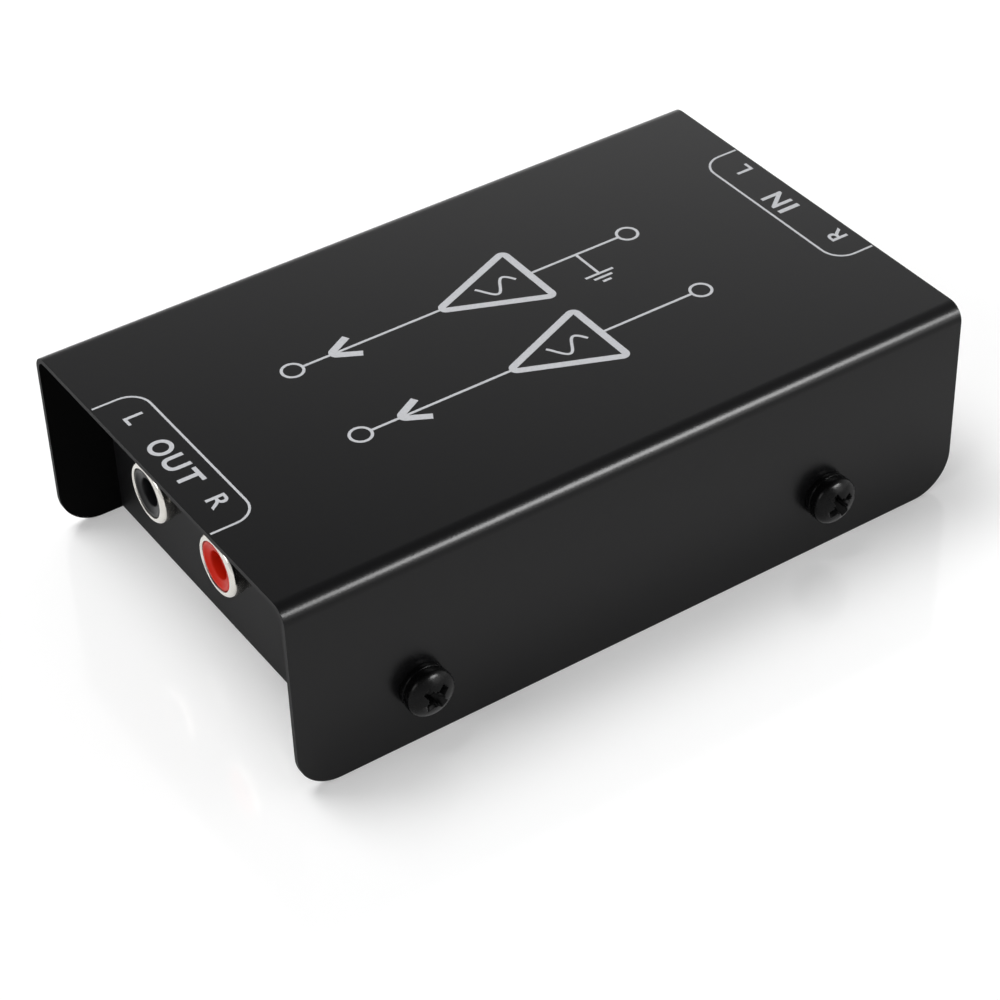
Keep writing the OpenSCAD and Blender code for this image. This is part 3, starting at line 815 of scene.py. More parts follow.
def copy_node(node: str, name: str, material: Material, width: float) -> Object:
    """Copy a CAD node, merge its loose triangles, and ease its edges.

    Args:
        node: The CAD node's name.
        name: The new piece's name.
        material: Its finish.
        width: Width of the eased edges in millimetres.

    Returns:
        The new piece.
    """
    draft = bmesh.new()
    draft.from_mesh(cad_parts[node].data)
    bmesh.ops.remove_doubles(draft, verts=draft.verts, dist=MERGE_MM * MM)
    flat = math.radians(FLAT_ANGLE)
    bmesh.ops.dissolve_limit(draft, angle_limit=flat, verts=draft.verts, edges=draft.edges)
    return ease(to_object(draft, name, material), width)


# ---- Geometry node recipes ----


@dataclass
class Recipe:
    """A geometry node tree with named inputs, and how to run it."""

    tree: NodeTree

    def run(self, name: str, host: Mesh, values: dict[str, Any]) -> Object:
        """Run the tree on a mesh and keep the result as a plain mesh.

        Args:
            name: The new piece's name.
            host: The mesh of points or edges that the tree starts from.
            values: A value for each named input.

        Returns:
            The new piece, at the origin.
        """
        piece = bpy.data.objects.new(name, host)
        bpy.context.scene.collection.objects.link(piece)
        modifier = piece.modifiers.new("recipe", "NODES")
        modifier.node_group = self.tree
        for item in self.tree.interface.items_tree:
            if item.name in values:
                modifier[item.identifier] = values[item.name]
        return settle(piece)


def new_tree(name: str, inputs: dict[str, str]) -> tuple[NodeTree, Node]:
    """Start a geometry node tree.

    Args:
        name: The tree's name.
        inputs: The socket type of each named input, the first of them a geometry.

    Returns:
        The tree and its input node.
    """
    tree = bpy.data.node_groups.new(name, "GeometryNodeTree")
    tree.is_modifier = True
    for label, kind in inputs.items():
        tree.interface.new_socket(label, in_out="INPUT", socket_type="NodeSocket" + kind)
    tree.interface.new_socket("Geometry", in_out="OUTPUT", socket_type="NodeSocketGeometry")
    return tree, add_node(tree, "NodeGroupInput")


def end_tree(tree: NodeTree, shape: NodeSocket, finish: NodeSocket) -> Recipe:
    """Make a tree's shape real, give it its finish and end the tree.

    Args:
        tree: The tree.
        shape: The shape that the tree has drawn.
        finish: The material that it gets.

    Returns:
        The finished recipe.
    """
    real = add_node(tree, "GeometryNodeRealizeInstances", inputs={"Geometry": shape}).outputs["Geometry"]
    dressed = add_node(tree, "GeometryNodeSetMaterial", inputs={"Geometry": real, "Material": finish})
    add_node(tree, "NodeGroupOutput", inputs={"Geometry": dressed.outputs["Geometry"]})
    return Recipe(tree)


def repeat_recipe() -> Recipe:
    """Repeat one piece at many points, each turned by the point's own "turn" attribute.

    Returns:
        A recipe with the inputs Points, Piece, Finish, Size Spread and Seed.
    """
    tree, given = new_tree(
        "repeat_piece",
        {
            "Points": "Geometry", "Piece": "Object", "Finish": "Material",
            "Size Spread": "Float", "Seed": "Int",
        },
    )
    given_piece, spread_of_size, seed = (given.outputs[name] for name in ("Piece", "Size Spread", "Seed"))
    piece = add_node(tree, "GeometryNodeObjectInfo", inputs={"Object": given_piece, "As Instance": True})
    turn = add_node(tree, "GeometryNodeInputNamedAttribute", {"data_type": "FLOAT_VECTOR"}, {"Name": "turn"})
    smallest = add_node(tree, "ShaderNodeMath", {"operation": "SUBTRACT"}, {0: 1.0, 1: spread_of_size})
    sizes = {2: smallest.outputs[0], 3: 1.0, "Seed": seed}
    size = add_node(tree, "FunctionNodeRandomValue", {"data_type": "FLOAT"}, sizes)
    copies = add_node(
        tree, "GeometryNodeInstanceOnPoints",
        inputs={
            "Points": given.outputs["Points"],
            "Instance": piece.outputs["Geometry"],
            "Rotation": turn.outputs["Attribute"],
            "Scale": size.outputs[1],
        },
    )
    return end_tree(tree, copies.outputs["Instances"], given.outputs["Finish"])


def path_recipe() -> Recipe:
    """Draw a flat strip or a round wire along edges, with rounded corners and crossings merged.

    Returns:
        A recipe with the inputs Path, Width, Thickness, Corner Radius, Corner Steps, Round and Finish.
    """
    tree, given = new_tree(
        "follow_path",
        {
            "Path": "Geometry", "Width": "Float", "Thickness": "Float", "Corner Radius": "Float",
            "Corner Steps": "Int", "Round": "Bool", "Finish": "Material",
        },
    )
    line = add_node(tree, "GeometryNodeMeshToCurve", inputs={"Mesh": given.outputs["Path"]})
    eased = add_node(
        tree, "GeometryNodeFilletCurve", {"mode": "POLY"},
        {
            "Curve": line.outputs["Curve"], "Count": given.outputs["Corner Steps"],
            "Radius": given.outputs["Corner Radius"], "Limit Radius": True,
        },
    )
    curve = eased.outputs["Curve"]
    upright = add_node(tree, "GeometryNodeSetCurveNormal", {"mode": "Z_UP"}, {"Curve": curve})
    strip = add_node(
        tree, "GeometryNodeCurvePrimitiveQuadrilateral", {"mode": "RECTANGLE"},
        {"Width": given.outputs["Width"], "Height": given.outputs["Thickness"]},
    )
    half = add_node(tree, "ShaderNodeMath", {"operation": "MULTIPLY"}, {0: given.outputs["Width"], 1: 0.5})
    round_wire = {"Resolution": WIRE_STEPS, "Radius": half.outputs[0]}
    wire = add_node(tree, "GeometryNodeCurvePrimitiveCircle", {"mode": "RADIUS"}, round_wire)
    section = add_node(
        tree, "GeometryNodeSwitch", {"input_type": "GEOMETRY"},
        {"Switch": given.outputs["Round"], "False": strip.outputs["Curve"], "True": wire.outputs["Curve"]},
    )
    swept = add_node(
        tree, "GeometryNodeCurveToMesh",
        inputs={
            "Curve": upright.outputs["Curve"], "Profile Curve": section.outputs["Output"], "Fill Caps": True,
        },
    )
    whole = add_node(
        tree, "GeometryNodeMeshBoolean", {"operation": "UNION", "solver": "EXACT"},
        {"Mesh 2": swept.outputs["Mesh"], "Self Intersection": True},
    )
    return end_tree(tree, whole.outputs["Mesh"], given.outputs["Finish"])


def polyline_mesh(lines: Iterable[Line3]) -> Mesh:
    """Edges along several lines, in millimetres. The flag of a line says whether it closes.

    Args:
        lines: Each line's points, and whether it closes.

    Returns:
        A mesh of edges alone.
    """
    verts: list[Vector] = []
    edges: list[tuple[int, int]] = []
    for points, closed in lines:
        start = len(verts)
        verts += [Vector(p) * MM for p in points]
        edges += [(i, i + 1) for i in range(start, len(verts) - 1)]
        if closed:
            edges.append((len(verts) - 1, start))
    mesh = bpy.data.meshes.new("path")
    mesh.from_pydata(verts, edges, [])
    return mesh


def point_mesh(spots: Sequence[Spot]) -> Mesh:
    """Points in millimetres, each with the turn of the piece that stands there.

    Args:
        spots: The place and turn of each piece.

    Returns:
        A mesh of points alone, with the attribute "turn".
    """
    mesh = bpy.data.meshes.new("spots")
    mesh.from_pydata([Vector(p) * MM for p, _ in spots], [], [])
    turn = mesh.attributes.new("turn", "FLOAT_VECTOR", "POINT")
    turn.data.foreach_set("vector", [angle for _, euler in spots for angle in euler])
    return mesh


# ---- Workshop: what every assembly shares ----


@dataclass
class Workshop:
    """Finishes and recipes for all assemblies, and the way that pieces are handed to the frame."""

    finishes: dict[Slot, Material] = field(default_factory=dict)
    ink: Material | None = None
    solder: Material | None = None
    aluminium: Material | None = None
    inner_coat_with_painted_shade: Material | None = None
    edge_coat: Material | None = None
    tracks: Material | None = None
    bands: dict[str, Material] = field(default_factory=dict)
    repeater: Recipe | None = None
    tracer: Recipe | None = None

    def open(self) -> None:
        """Build the materials and the recipes."""
        self.finishes = {slot: finish.build() for slot, finish in FINISHES.items()}
        self.ink = INK.build()
        self.solder = SOLDER.build()
        self.aluminium = ALUMINIUM.build()
        self.inner_coat_with_painted_shade = INNER_COAT_WITH_PAINTED_SHADE.build()
        self.edge_coat = EDGE_COAT.build()
        self.tracks = TRACKS.build()
        self.bands = {colour: paint.build() for colour, paint in BANDS.items()}
        self.repeater = repeat_recipe()
        self.tracer = path_recipe()

    def dress_nodes(self) -> None:
        """Give every carried-over CAD node the finish of its own slot."""
        for name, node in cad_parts.items():
            for holder in node.material_slots:
                holder.material = self.finishes[Slot(holder.material.name.split(".")[0])]
            logging.info("node %s is dressed", name)

    def hand_over(self, piece: Object, body: Body, slot: Slot | None, *nodes: str) -> Object:
        """Put a finished piece on its body.

        Args:
            piece: The piece.
            body: The body that it rides on.
            slot: The record's slot for its finish, if it has one. It is not used.
            nodes: The CAD nodes that it stands for.

        Returns:
            The piece.
        """
        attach(piece, body.value)
        if nodes:
            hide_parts(*nodes)
        logging.info("%s rides on %s with %d faces", piece.name, body.value, len(piece.data.polygons))
        return piece

    def repeat(
        self, template: Object, name: str, spots: Sequence[Spot], size_spread: float = 0.0
    ) -> Object:
        """Repeat a template at several spots as one mesh, and discard the template.

        Args:
            template: The piece to repeat.
            name: The new piece's name.
            spots: The place and turn of each copy.
            size_spread: By how much of its size a copy may be smaller.

        Returns:
            The new piece.
        """
        finish = template.data.materials[0]
        values = {"Piece": template, "Finish": finish, "Size Spread": size_spread, "Seed": SEED}
        piece = self.repeater.run(name, point_mesh(spots), values)
        discard(template)
        return piece

    def trace(
        self,
        name: str,
        lines: Iterable[Line3],
        finish: Material,
        width: float,
        thickness: float = 0.0,
        corner: float = 0.0,
    ) -> Object:
        """Draw strips along lines, or round wires where the thickness is 0, in millimetres.

        Args:
            name: The new piece's name.
            lines: Each line's points, and whether it closes.
            finish: Its material.
            width: Width of the strip, or the wire's diameter.
            thickness: Thickness of the strip.
            corner: Radius of the path's corners.

        Returns:
            The new piece.
        """
        values = {
            "Width": width * MM, "Thickness": thickness * MM, "Corner Radius": corner * MM,
            "Corner Steps": CORNER_STEPS, "Round": thickness <= 0, "Finish": finish,
        }
        piece = self.tracer.run(name, polyline_mesh(lines), values)
        piece.data.shade_smooth()
        piece.data.set_sharp_from_angle(angle=math.radians(PATH_CREASE))
        return piece


# ---- Case ----


@dataclass
class Cover:
    """Folded sheet-steel cover with a punched and rounded blank."""

    length: float = 106.0
    width: float = 65.0
    height: float = 30.4
    sheet: float = 0.8
    bend_radius: float = 2.5
    corner_radius: float = 6.0
    ink_film: float = 0.02
    hole_radius: float = 2.05
    screw_x: tuple[float, float] = (-34.5, 30.5)
    screw_height: float = 9.0
    eased_edge: float = 0.14
    bend_steps: int = 14
    hole_steps: int = 40
    # The inner face begins at this share of the sheet, and a sheared edge at this depth
    inner_share: float = 0.9
    edge_depth: float = 0.12

    @property
    def top(self) -> float:
        """Height of the bare top face, below the ink."""
        return self.height - self.ink_film

    def face_line(self, inset: float) -> list[Point2]:
        """Y and Z along the sheet's outer face, or along a face inset from it.

        Args:
            inset: How far the face lies under the outer one, in millimetres.

        Returns:
            The face's points, from -Y to +Y.
        """
        half = self.width / 2 - inset
        top = self.top - inset
        radius = self.bend_radius - inset
        bends = arc((-half + radius, top - radius), (radius, radius), 180, 90, self.bend_steps)
        bends += arc((half - radius, top - radius), (radius, radius), 90, 0, self.bend_steps)
        return [(-half, 0.0), *bends, (half, 0.0)]

    def folded_sheet(self) -> BMesh:
        """Closed draft of the folded sheet before punching.

        Returns:
            A closed draft with its faces outward.
        """
        draft = bmesh.new()
        rows = {}
        for side, inset in (("outer", 0.0), ("inner", self.sheet)):
            for end in End:
                x = end.value * self.length / 2
                rows[side, end] = [draft.verts.new(Vector((x, y, z)) * MM) for y, z in self.face_line(inset)]
        last = len(rows["outer", End.INPUT]) - 1
        for i in range(last):
            for side in ("outer", "inner"):
                near, far = rows[side, End.OUTPUT], rows[side, End.INPUT]
                draft.faces.new([near[i], near[i + 1], far[i + 1], far[i]])
            for end in End:
                outer, inner = rows["outer", end], rows["inner", end]
                draft.faces.new([outer[i], outer[i + 1], inner[i + 1], inner[i]])
        for i in (0, last):
            corners = [rows["outer", End.OUTPUT], rows["outer", End.INPUT], rows["inner", End.INPUT]]
            draft.faces.new([*(row[i] for row in corners), rows["inner", End.OUTPUT][i]])
        bmesh.ops.recalc_face_normals(draft, faces=draft.faces)
        return draft

    def punch(self) -> BMesh:
        """Tools that round the lower corners and punch the screw holes through both flanges.

        Returns:
            All the tools as one draft.
        """
        reach = self.width / 2 + 1
        upright = Matrix.Rotation(math.pi / 2, 4, "X")
        tools = []
        radius, half = self.corner_radius, self.length / 2
        for end in End:
            rounding = arc((radius, radius), (radius, radius), 270, 180, 16)
            outline = [(-1.0, -1.0), (radius, -1.0), *rounding, (-1.0, radius)]
            spun = Matrix.Scale(-end.value, 4, Vector((1, 0, 0)))
            tools.append(place(prism(outline, -reach, reach), spun @ shift(-half) @ upright))
        for x in self.screw_x:
            rod = [(0, -reach), (self.hole_radius, -reach), (self.hole_radius, reach), (0, reach)]
            hole = revolve(rod, self.hole_steps, False)
            tools.append(place(hole, shift(x, 0, self.screw_height) @ upright))
        return join(tools)

    def depth(self, y: float, z: float) -> float:
        """How deep a point lies under the outer face, in millimetres.

        Args:
            y: The point's Y.
            z: The point's Z.

        Returns:
            The depth.
        """
        across, up = abs(y) - self.width / 2 + self.bend_radius, z - self.top + self.bend_radius
        if across > 0 and up > 0:
            return self.bend_radius - math.hypot(across, up)
        return self.bend_radius - max(across, up)

    def build(self, shop: Workshop) -> None:
        """Make the folded cover, coat its inside with a darker coat that also paints the shade there, coat
        its sheared edges, and hand it over.

        Args:
            shop: Finishes, recipes and the hand-over.
        """
        piece = to_object(self.folded_sheet(), "folded_cover", shop.finishes[Slot.COVER])
        carve(piece, self.punch())
        ease(piece, self.eased_edge, segments=3)
        # The eased edge swells a little below the resting plane where each lower corner begins
        for vert in piece.data.vertices:
            vert.co.z = max(vert.co.z, 0.0)
        for coat in (shop.inner_coat_with_painted_shade, shop.edge_coat):
            piece.data.materials.append(coat)
        for face in piece.data.polygons:
            under = self.depth(face.center.y / MM, face.center.z / MM)
            # Inner faces take the darker coat, which paints the shade inside the cover as well as its thin
            # powder
            if under > self.inner_share * self.sheet:
                face.material_index = 1
            elif under > self.edge_depth:
                face.material_index = 2
        shop.hand_over(piece, Body.CASE, Slot.COVER, "top_cover")


@dataclass(frozen=True)
class Letter:
    """One printed capital: where its lower left corner lies on the cover, and its size."""

    shape: str
    end: End
    x: float
    y: float
    width: float
    height: float
    weight: float

    def draft(self, low: float, high: float) -> BMesh:
        """Closed film of the letter between two heights. Its top points away from the end's edge.

        Args:
            low: Height of the film's underside, in millimetres.
            high: Height of its top.

        Returns:
            A closed draft with its faces outward.
        """
        curve = bpy.data.curves.new("letter", "FONT")
        curve.body = self.shape
        curve.offset = self.weight
        curve.extrude = 0.5
        curve.resolution_u = 8
        holder = bpy.data.objects.new("letter", curve)
        bpy.context.scene.collection.objects.link(holder)
        bpy.context.view_layer.update()
        mesh = bpy.data.meshes.new_from_object(holder.evaluated_get(bpy.context.evaluated_depsgraph_get()))
        bpy.data.objects.remove(holder)
        bpy.data.curves.remove(curve)
        draft = bmesh.new()
        draft.from_mesh(mesh)
        bpy.data.meshes.remove(mesh)
        bmesh.ops.remove_doubles(draft, verts=draft.verts, dist=1e-5)
        bmesh.ops.recalc_face_normals(draft, faces=draft.faces)
        us, vs = [v.co.x for v in draft.verts], [v.co.y for v in draft.verts]
        for vert in draft.verts:
            u = (vert.co.x - min(us)) / (max(us) - min(us)) * self.width
            v = (vert.co.y - min(vs)) / (max(vs) - min(vs)) * self.height
            side = self.end.value
            vert.co = Vector((self.x - side * v, self.y + side * u, low if vert.co.z < 0 else high)) * MM
        return draft


@dataclass
class PrintedMarks:
    """Screen print on the cover: the two ends' labels in their frames, and a signal diagram."""

    top: float = 30.4
    film: float = 0.024
    fine_film: float = 0.012
    edge: float = 52.7
    frame_stroke: float = 0.34
    frame_radius: float = 3.15
    fine_stroke: float = 0.42
    bold_stroke: float = 1.1
    letters: tuple[Letter, ...] = (
        Letter("L", End.OUTPUT, -50.45, 12.4, 1.75, 2.8, 0.012),
        Letter("O", End.OUTPUT, -51.05, 5.85, 3.3, 3.45, 0.022),
        Letter("U", End.OUTPUT, -51.0, 1.9, 2.95, 3.4, 0.022),
        Letter("T", End.OUTPUT, -51.0, -1.75, 3.0, 3.4, 0.022),
        Letter("R", End.OUTPUT, -50.1, -8.45, 2.35, 2.8, 0.012),
        Letter("L", End.INPUT, 51.7, 11.25, 1.75, 2.7, 0.012),
        Letter("I", End.INPUT, 51.05, -0.2, 0.75, 3.5, 0.02),
        Letter("N", End.INPUT, 51.05, 1.4, 3.0, 3.5, 0.022),
        Letter("R", End.INPUT, 51.7, -10.05, 2.35, 2.7, 0.012),
    )

    def raise_points(self, points: Iterable[Point2], film: float) -> list[Point3]:
        """Lift flat points to the middle of a film of ink that lies on the coat."""
        return [(x, y, self.top - self.film + film / 2) for x, y in points]

    def frames(self) -> list[Line3]:
        """Centre lines of the two frames, which run off the ends of the cover.

        Returns:
            Each line's points, and whether it closes.
        """
        output = [(-self.edge, 16.55), (-45.8, 16.55), (-45.8, -14.58), (-self.edge, -14.58)]
        inlet = [(self.edge, 16.75), (46.4, 16.75), (46.4, -13.99), (self.edge, -13.99)]
        return [(self.raise_points(points, self.film), False) for points in (output, inlet)]

    def amplifiers(self) -> list[Line3]:
        """Centre lines of the diagram's two amplifiers and of the arrow heads behind them.

        Returns:
            Each line's points, and whether it closes.
        """
        lines: list[Line2] = []
        for y in (8.5, -8.5):
            lines.append(([(10.5, y - 6.4), (10.5, y + 6.4), (-4.5, y)], True))
            lines.append(([(-17.6, y + 2.2), (-21.6, y), (-17.6, y - 2.2)], False))
        return [(self.raise_points(points, self.film), closed) for points, closed in lines]

    def wiring(self) -> list[Line3]:
        """Centre lines of the diagram's terminals, wires, waves and ground sign.

        Returns:
            Each line's points, and whether it closes.
        """
        lines: list[Line2] = []
        for y in (8.5, -8.5):
            for x in (27.2, -27.2):
                lines.append((arc((x, y), (1.5, 1.5), 0, 345, 23), True))
            lines.append(([(25.7, y), (10.5, y)], False))
            lines.append(([(-3.4, y), (-25.7, y)], False))
            lines.append(([(8.4 - i / 4, y + 1.5 * math.sin(i / 4 * 1.2)) for i in range(25)], False))
        lines.append(([(18.4, 8.5), (18.4, 2.9)], False))
        ground_sign = ((2.3, 2.9), (1.5, 1.95), (0.7, 1.0))
        lines += [([(18.4 - half, y), (18.4 + half, y)], False) for half, y in ground_sign]
        return [(self.raise_points(points, self.fine_film), closed) for points, closed in lines]

    def build(self, shop: Workshop) -> None:
        """Make the ink and hand it over.

        Args:
            shop: Finishes, recipes and the hand-over.
        """
        films = join(letter.draft(self.top - self.film, self.top) for letter in self.letters)
        shop.hand_over(to_object(films, "print_letters", shop.ink), Body.CASE, None)
        # The wires' film is the thinner one, so that it passes under the amplifiers and the arrow heads
        parts = (
            ("print_frames", self.frames(), self.frame_stroke, self.film, self.frame_radius),
            ("print_amplifiers", self.amplifiers(), self.bold_stroke, self.film, 0.6),
            ("print_wiring", self.wiring(), self.fine_stroke, self.fine_film, 0.4),
        )
        for name, lines, stroke, film, corner in parts:
            piece = shop.trace(name, lines, shop.ink, stroke, film, corner)
            shop.hand_over(piece, Body.CASE, None)


@dataclass
class CrossScrew:
    """Pan-head machine screw with a tapered cross recess and, where it has one, a spring washer."""

    thread_radius: float
    pitch: float
    length: float
    head_radius: float
    head_height: float
    washer: float = 0.0
    rim: float = 0.45
    crown_share: float = 1.5
    # The cross recess: its span and the width of a wing as shares of the head, and its floor's height
    recess_share: float = 0.68
    wing_share: float = 0.17
    floor_share: float = 0.25
    eased_edge: float = 0.09

    def head_profile(self) -> list[Point2]:
        """Radius and height from the middle of the crown down to the underside.

        Returns:
            The profile's points.
        """
        radius, height = self.head_radius, self.head_height
        crown = self.crown_share * radius
        centre = height - crown
        wall = centre + math.sqrt(crown ** 2 - radius ** 2)
        limit = math.degrees(math.asin((radius - self.rim) / crown))
        dome = [(r, z) for r, z in arc((0, centre), (crown, crown), 90, 90 - limit, 14)]
        start = dome[-1]
        corner = (radius, wall - self.rim * 0.9)
        steps = [i / 6 for i in range(1, 7)]
        peak = (radius, wall + 0.02)
        rounding = [
            tuple((1 - t) ** 2 * a + 2 * t * (1 - t) * b + t * t * c for a, b, c in zip(start, peak, corner))
            for t in steps
        ]
        foot = [(radius - 0.02, 0.16), (radius - 0.12, 0.0), (0.0, 0.0)]
        return [(0.0, height), *dome[1:], *rounding, *foot]

    def template(self, material: Material) -> Object:
        """One screw on the Z axis: the head stands on z = 0 and the thread points down.

        Args:
            material: The piece's finish.

        Returns:
            The screw, to be repeated.
        """
        head = to_object(revolve(self.head_profile(), 72, False), "screw_head", material, 50)
        span, slot = self.recess_share * 2 * self.head_radius, self.wing_share * 2 * self.head_radius
        top = self.head_height + 0.3
        depth = self.head_height * self.floor_share
        for turn in (0, 90):
            wing = wedge((span * 1.1, slot * 1.15), (span * 0.36, slot * 0.62), top, depth)
            carve(head, place(wing, Matrix.Rotation(math.radians(turn), 4, "Z")))
        pit = revolve([(0, depth - 0.25), (slot * 0.55, depth), (slot * 1.25, top), (0, top)], 4, False)
        carve(head, place(pit, Matrix.Rotation(math.radians(45), 4, "Z")))
        ease(head, self.eased_edge, 34, 2)
        raised = place(to_draft(head), shift(0, 0, self.washer))
        parts = [raised, threaded_rod(self.thread_radius, self.pitch, -self.length, self.washer + 0.2)]
        if self.washer > 0:
            parts.append(self.split_washer(material))
        return to_object(join(parts), "screw_template", material, 40)

    def split_washer(self, material: Material) -> BMesh:
        """Spring washer of square wire, cut through at a slant.

        Args:
            material: The piece's finish.

        Returns:
            A closed draft with its faces outward.
        """
        inner, outer, high, eased = self.thread_radius + 0.1, self.head_radius - 0.1, self.washer, 0.12
        outline = [
            (inner, 0.0), (outer - eased, 0.0), (outer - 0.03, 0.03), (outer, eased), (outer, high - eased),
            (outer - 0.03, high - 0.03), (outer - eased, high), (inner, high),
        ]
        ring = to_object(revolve(outline, 72), "washer_ring", material)
        cut = box((inner - 0.2, -0.22, -1.0), (outer + 0.5, 0.22, high + 1.0))
        carve(ring, place(cut, Matrix.Rotation(math.radians(24), 4, "X")))
        return to_draft(ring)


@dataclass
class CaseScrews:
    """The four screws that hold the cover to the tray."""

    cover: Cover
    screw: CrossScrew = field(
        default_factory=lambda: CrossScrew(
            thread_radius=1.75, pitch=0.6, length=5.0, head_radius=3.5, head_height=2.8, washer=0.8
        )
    )
    # Each screw stops at its own angle, in degrees
    stops: tuple[float, ...] = (39.0, 28.0, 63.0, 8.0)

    def build(self, shop: Workshop) -> None:
        """Make the screws and hand them over.

        Args:
            shop: Finishes, recipes and the hand-over.
        """
        template = self.screw.template(shop.finishes[Slot.SCREW])
        spots = []
        places = [(side, x) for side in (-1, 1) for x in self.cover.screw_x]
        for (side, x), stop in zip(places, self.stops):
            turn = Matrix.Rotation(-side * math.pi / 2, 3, "X") @ Matrix.Rotation(math.radians(stop), 3, "Z")
            spots.append(((x, side * self.cover.width / 2, self.cover.screw_height), turn.to_euler()))
        piece = shop.repeat(template, "pan_head_screws", spots)
        shop.hand_over(piece, Body.CASE, Slot.SCREW, "cover_screws")


@dataclass
class Tray:
    """Folded tray with its end panels and side lips."""

    eased_edge: float = 0.12
    half_length: float = 44.0
    bend: float = 1.6
    pressed_bend: float = 0.6

    def press(self, piece: Object) -> None:
        """Tighten the outer side of the bends at the foot of the end panels.

        Args:
            piece: The tray.
        """
        share = self.pressed_bend / self.bend
        for vert in piece.data.vertices:
            x, _, z = vert.co / MM
            inward, up = self.half_length - abs(x), z
            radius = math.hypot(self.bend - inward, self.bend - up)
            if inward < self.bend + 0.01 and up < self.bend + 0.01 and radius > self.bend - 0.1:
                vert.co.x = math.copysign((self.half_length - inward * share) * MM, x)
                vert.co.z = up * share * MM

    def build(self, shop: Workshop) -> None:
        """Ease the tray's edges, press its bends and hand it over.

        Args:
            shop: Finishes, recipes and the hand-over.
        """
        piece = copy_node("base_tray", "folded_tray", shop.finishes[Slot.TRAY], self.eased_edge)
        self.press(piece)
        shop.hand_over(piece, Body.CASE, Slot.TRAY, "base_tray")


# ---- Sockets ----


@dataclass
class PhonoSockets:
    """The pair of phono sockets of one end: plated shells with coloured inserts."""

    end: End
    half_spacing: float = 9.1
    axis_height: float = 20.0
    radius: float = 4.15
    wall: float = 0.55
    front: float = 50.0
    panel: float = 44.0
    back: float = 40.45
    collar_radius: float = 4.4
    pin_radius: float = 1.65
    insert_setback: float = 0.14
    dish_depth: float = 0.35
    # The spun front edge stands a little proud of the shell, and takes a little of its bore
    bead: float = 0.25
    bead_length: float = 2.0
    lip: float = 0.1
    steps: int = 96
    block_edge: float = 0.25

    def shell_profile(self) -> list[Point2]:
        """Closed profile of the shell, with a spun bead at its front and a collar at the panel.

        Returns:
            Radius and X of each point, in millimetres.
        """
        bore, front = self.radius - self.wall, self.front
        lip, bead = bore - self.lip, self.radius + self.bead
        flat, fall, tail = lip + 0.22, 0.62, front - self.bead_length
        nose = [(bore, front - 1.2), (lip, front - 0.9), (lip, front - 0.12), (lip + 0.07, front - 0.01)]
        nose += arc((flat, front - fall), (bead - flat, fall), 86, 0, 12)
        nose += [
            (bead, tail + 0.3), (bead - 0.05, tail + 0.1),
            (self.radius + 0.05, tail - 0.12), (self.radius, tail - 0.3),
        ]
        neck = [
            (self.radius, self.panel + 0.55), (self.radius + 0.06, self.panel + 0.22),
            (self.collar_radius - 0.08, self.panel),
        ]
        return [
            (bore, self.back), *nose, *neck,
            (self.collar_radius, self.panel - 0.1), (self.collar_radius, self.back),
        ]

    def insert_profile(self) -> list[Point2]:
        """Closed profile of the insert: a rounded rim, a sloping dish and a wide mouth to the bore.

        Returns:
            Radius and X of each point, in millimetres.
        """
        outer = self.radius - self.wall - 0.05
        face = outer - self.lip
        front = self.front - self.insert_setback
        mouth, floor = self.pin_radius + 0.35, front - self.dish_depth
        rim = 0.2
        dish = [
            (face - 0.42, front - 0.01), (face - 0.5, front - 0.06), (face - 0.62, front - 0.14),
            (mouth + 0.2, floor + 0.06), (mouth + 0.06, floor), (mouth, floor - 0.1),
            (mouth - 0.02, floor - 1.2), (self.pin_radius, floor - 1.5),
        ]
        return [
            (self.pin_radius, self.back + 0.05), (outer, self.back + 0.05),
            (outer, front - 1.2), (face, front - 0.9),
            *arc((face - rim, front - rim), (rim, rim), 0, 90, 5), *dish,
        ]

    def build(self, shop: Workshop) -> None:
        """Make the shells and inserts and hand them over.

        Args:
            shop: Finishes, recipes and the hand-over.
        """
        label = self.end.name.lower()
        turned = lay(self.end).to_euler()
        nickel = shop.finishes[Slot.NICKEL]
        template = to_object(revolve(self.shell_profile(), self.steps), "shell_template", nickel, 40)
        spots = [((0.0, side * self.half_spacing, self.axis_height), turned) for side in (1, -1)]
        shells = shop.repeat(template, label + "_shell_pair", spots)
        shop.hand_over(shells, Body.CASE, Slot.NICKEL, label + "_shells")
        for channel, side, slot in (("left", 1, Slot.BLACK_INSERT), ("right", -1, Slot.RED_INSERT)):
            draft = revolve(self.insert_profile(), self.steps)
            place(draft, shift(0, side * self.half_spacing, self.axis_height) @ lay(self.end))
            insert = to_object(draft, f"{label}_{channel}_insert", shop.finishes[slot], 40)
            shop.hand_over(insert, Body.CASE, slot, f"{label}_insulator_{channel}")
        moulded, node = shop.finishes[Slot.MOULDED], label + "_socket_block"
        block = copy_node(node, label + "_moulded_block", moulded, self.block_edge)
        shop.hand_over(block, Body.CASE, Slot.MOULDED, node)


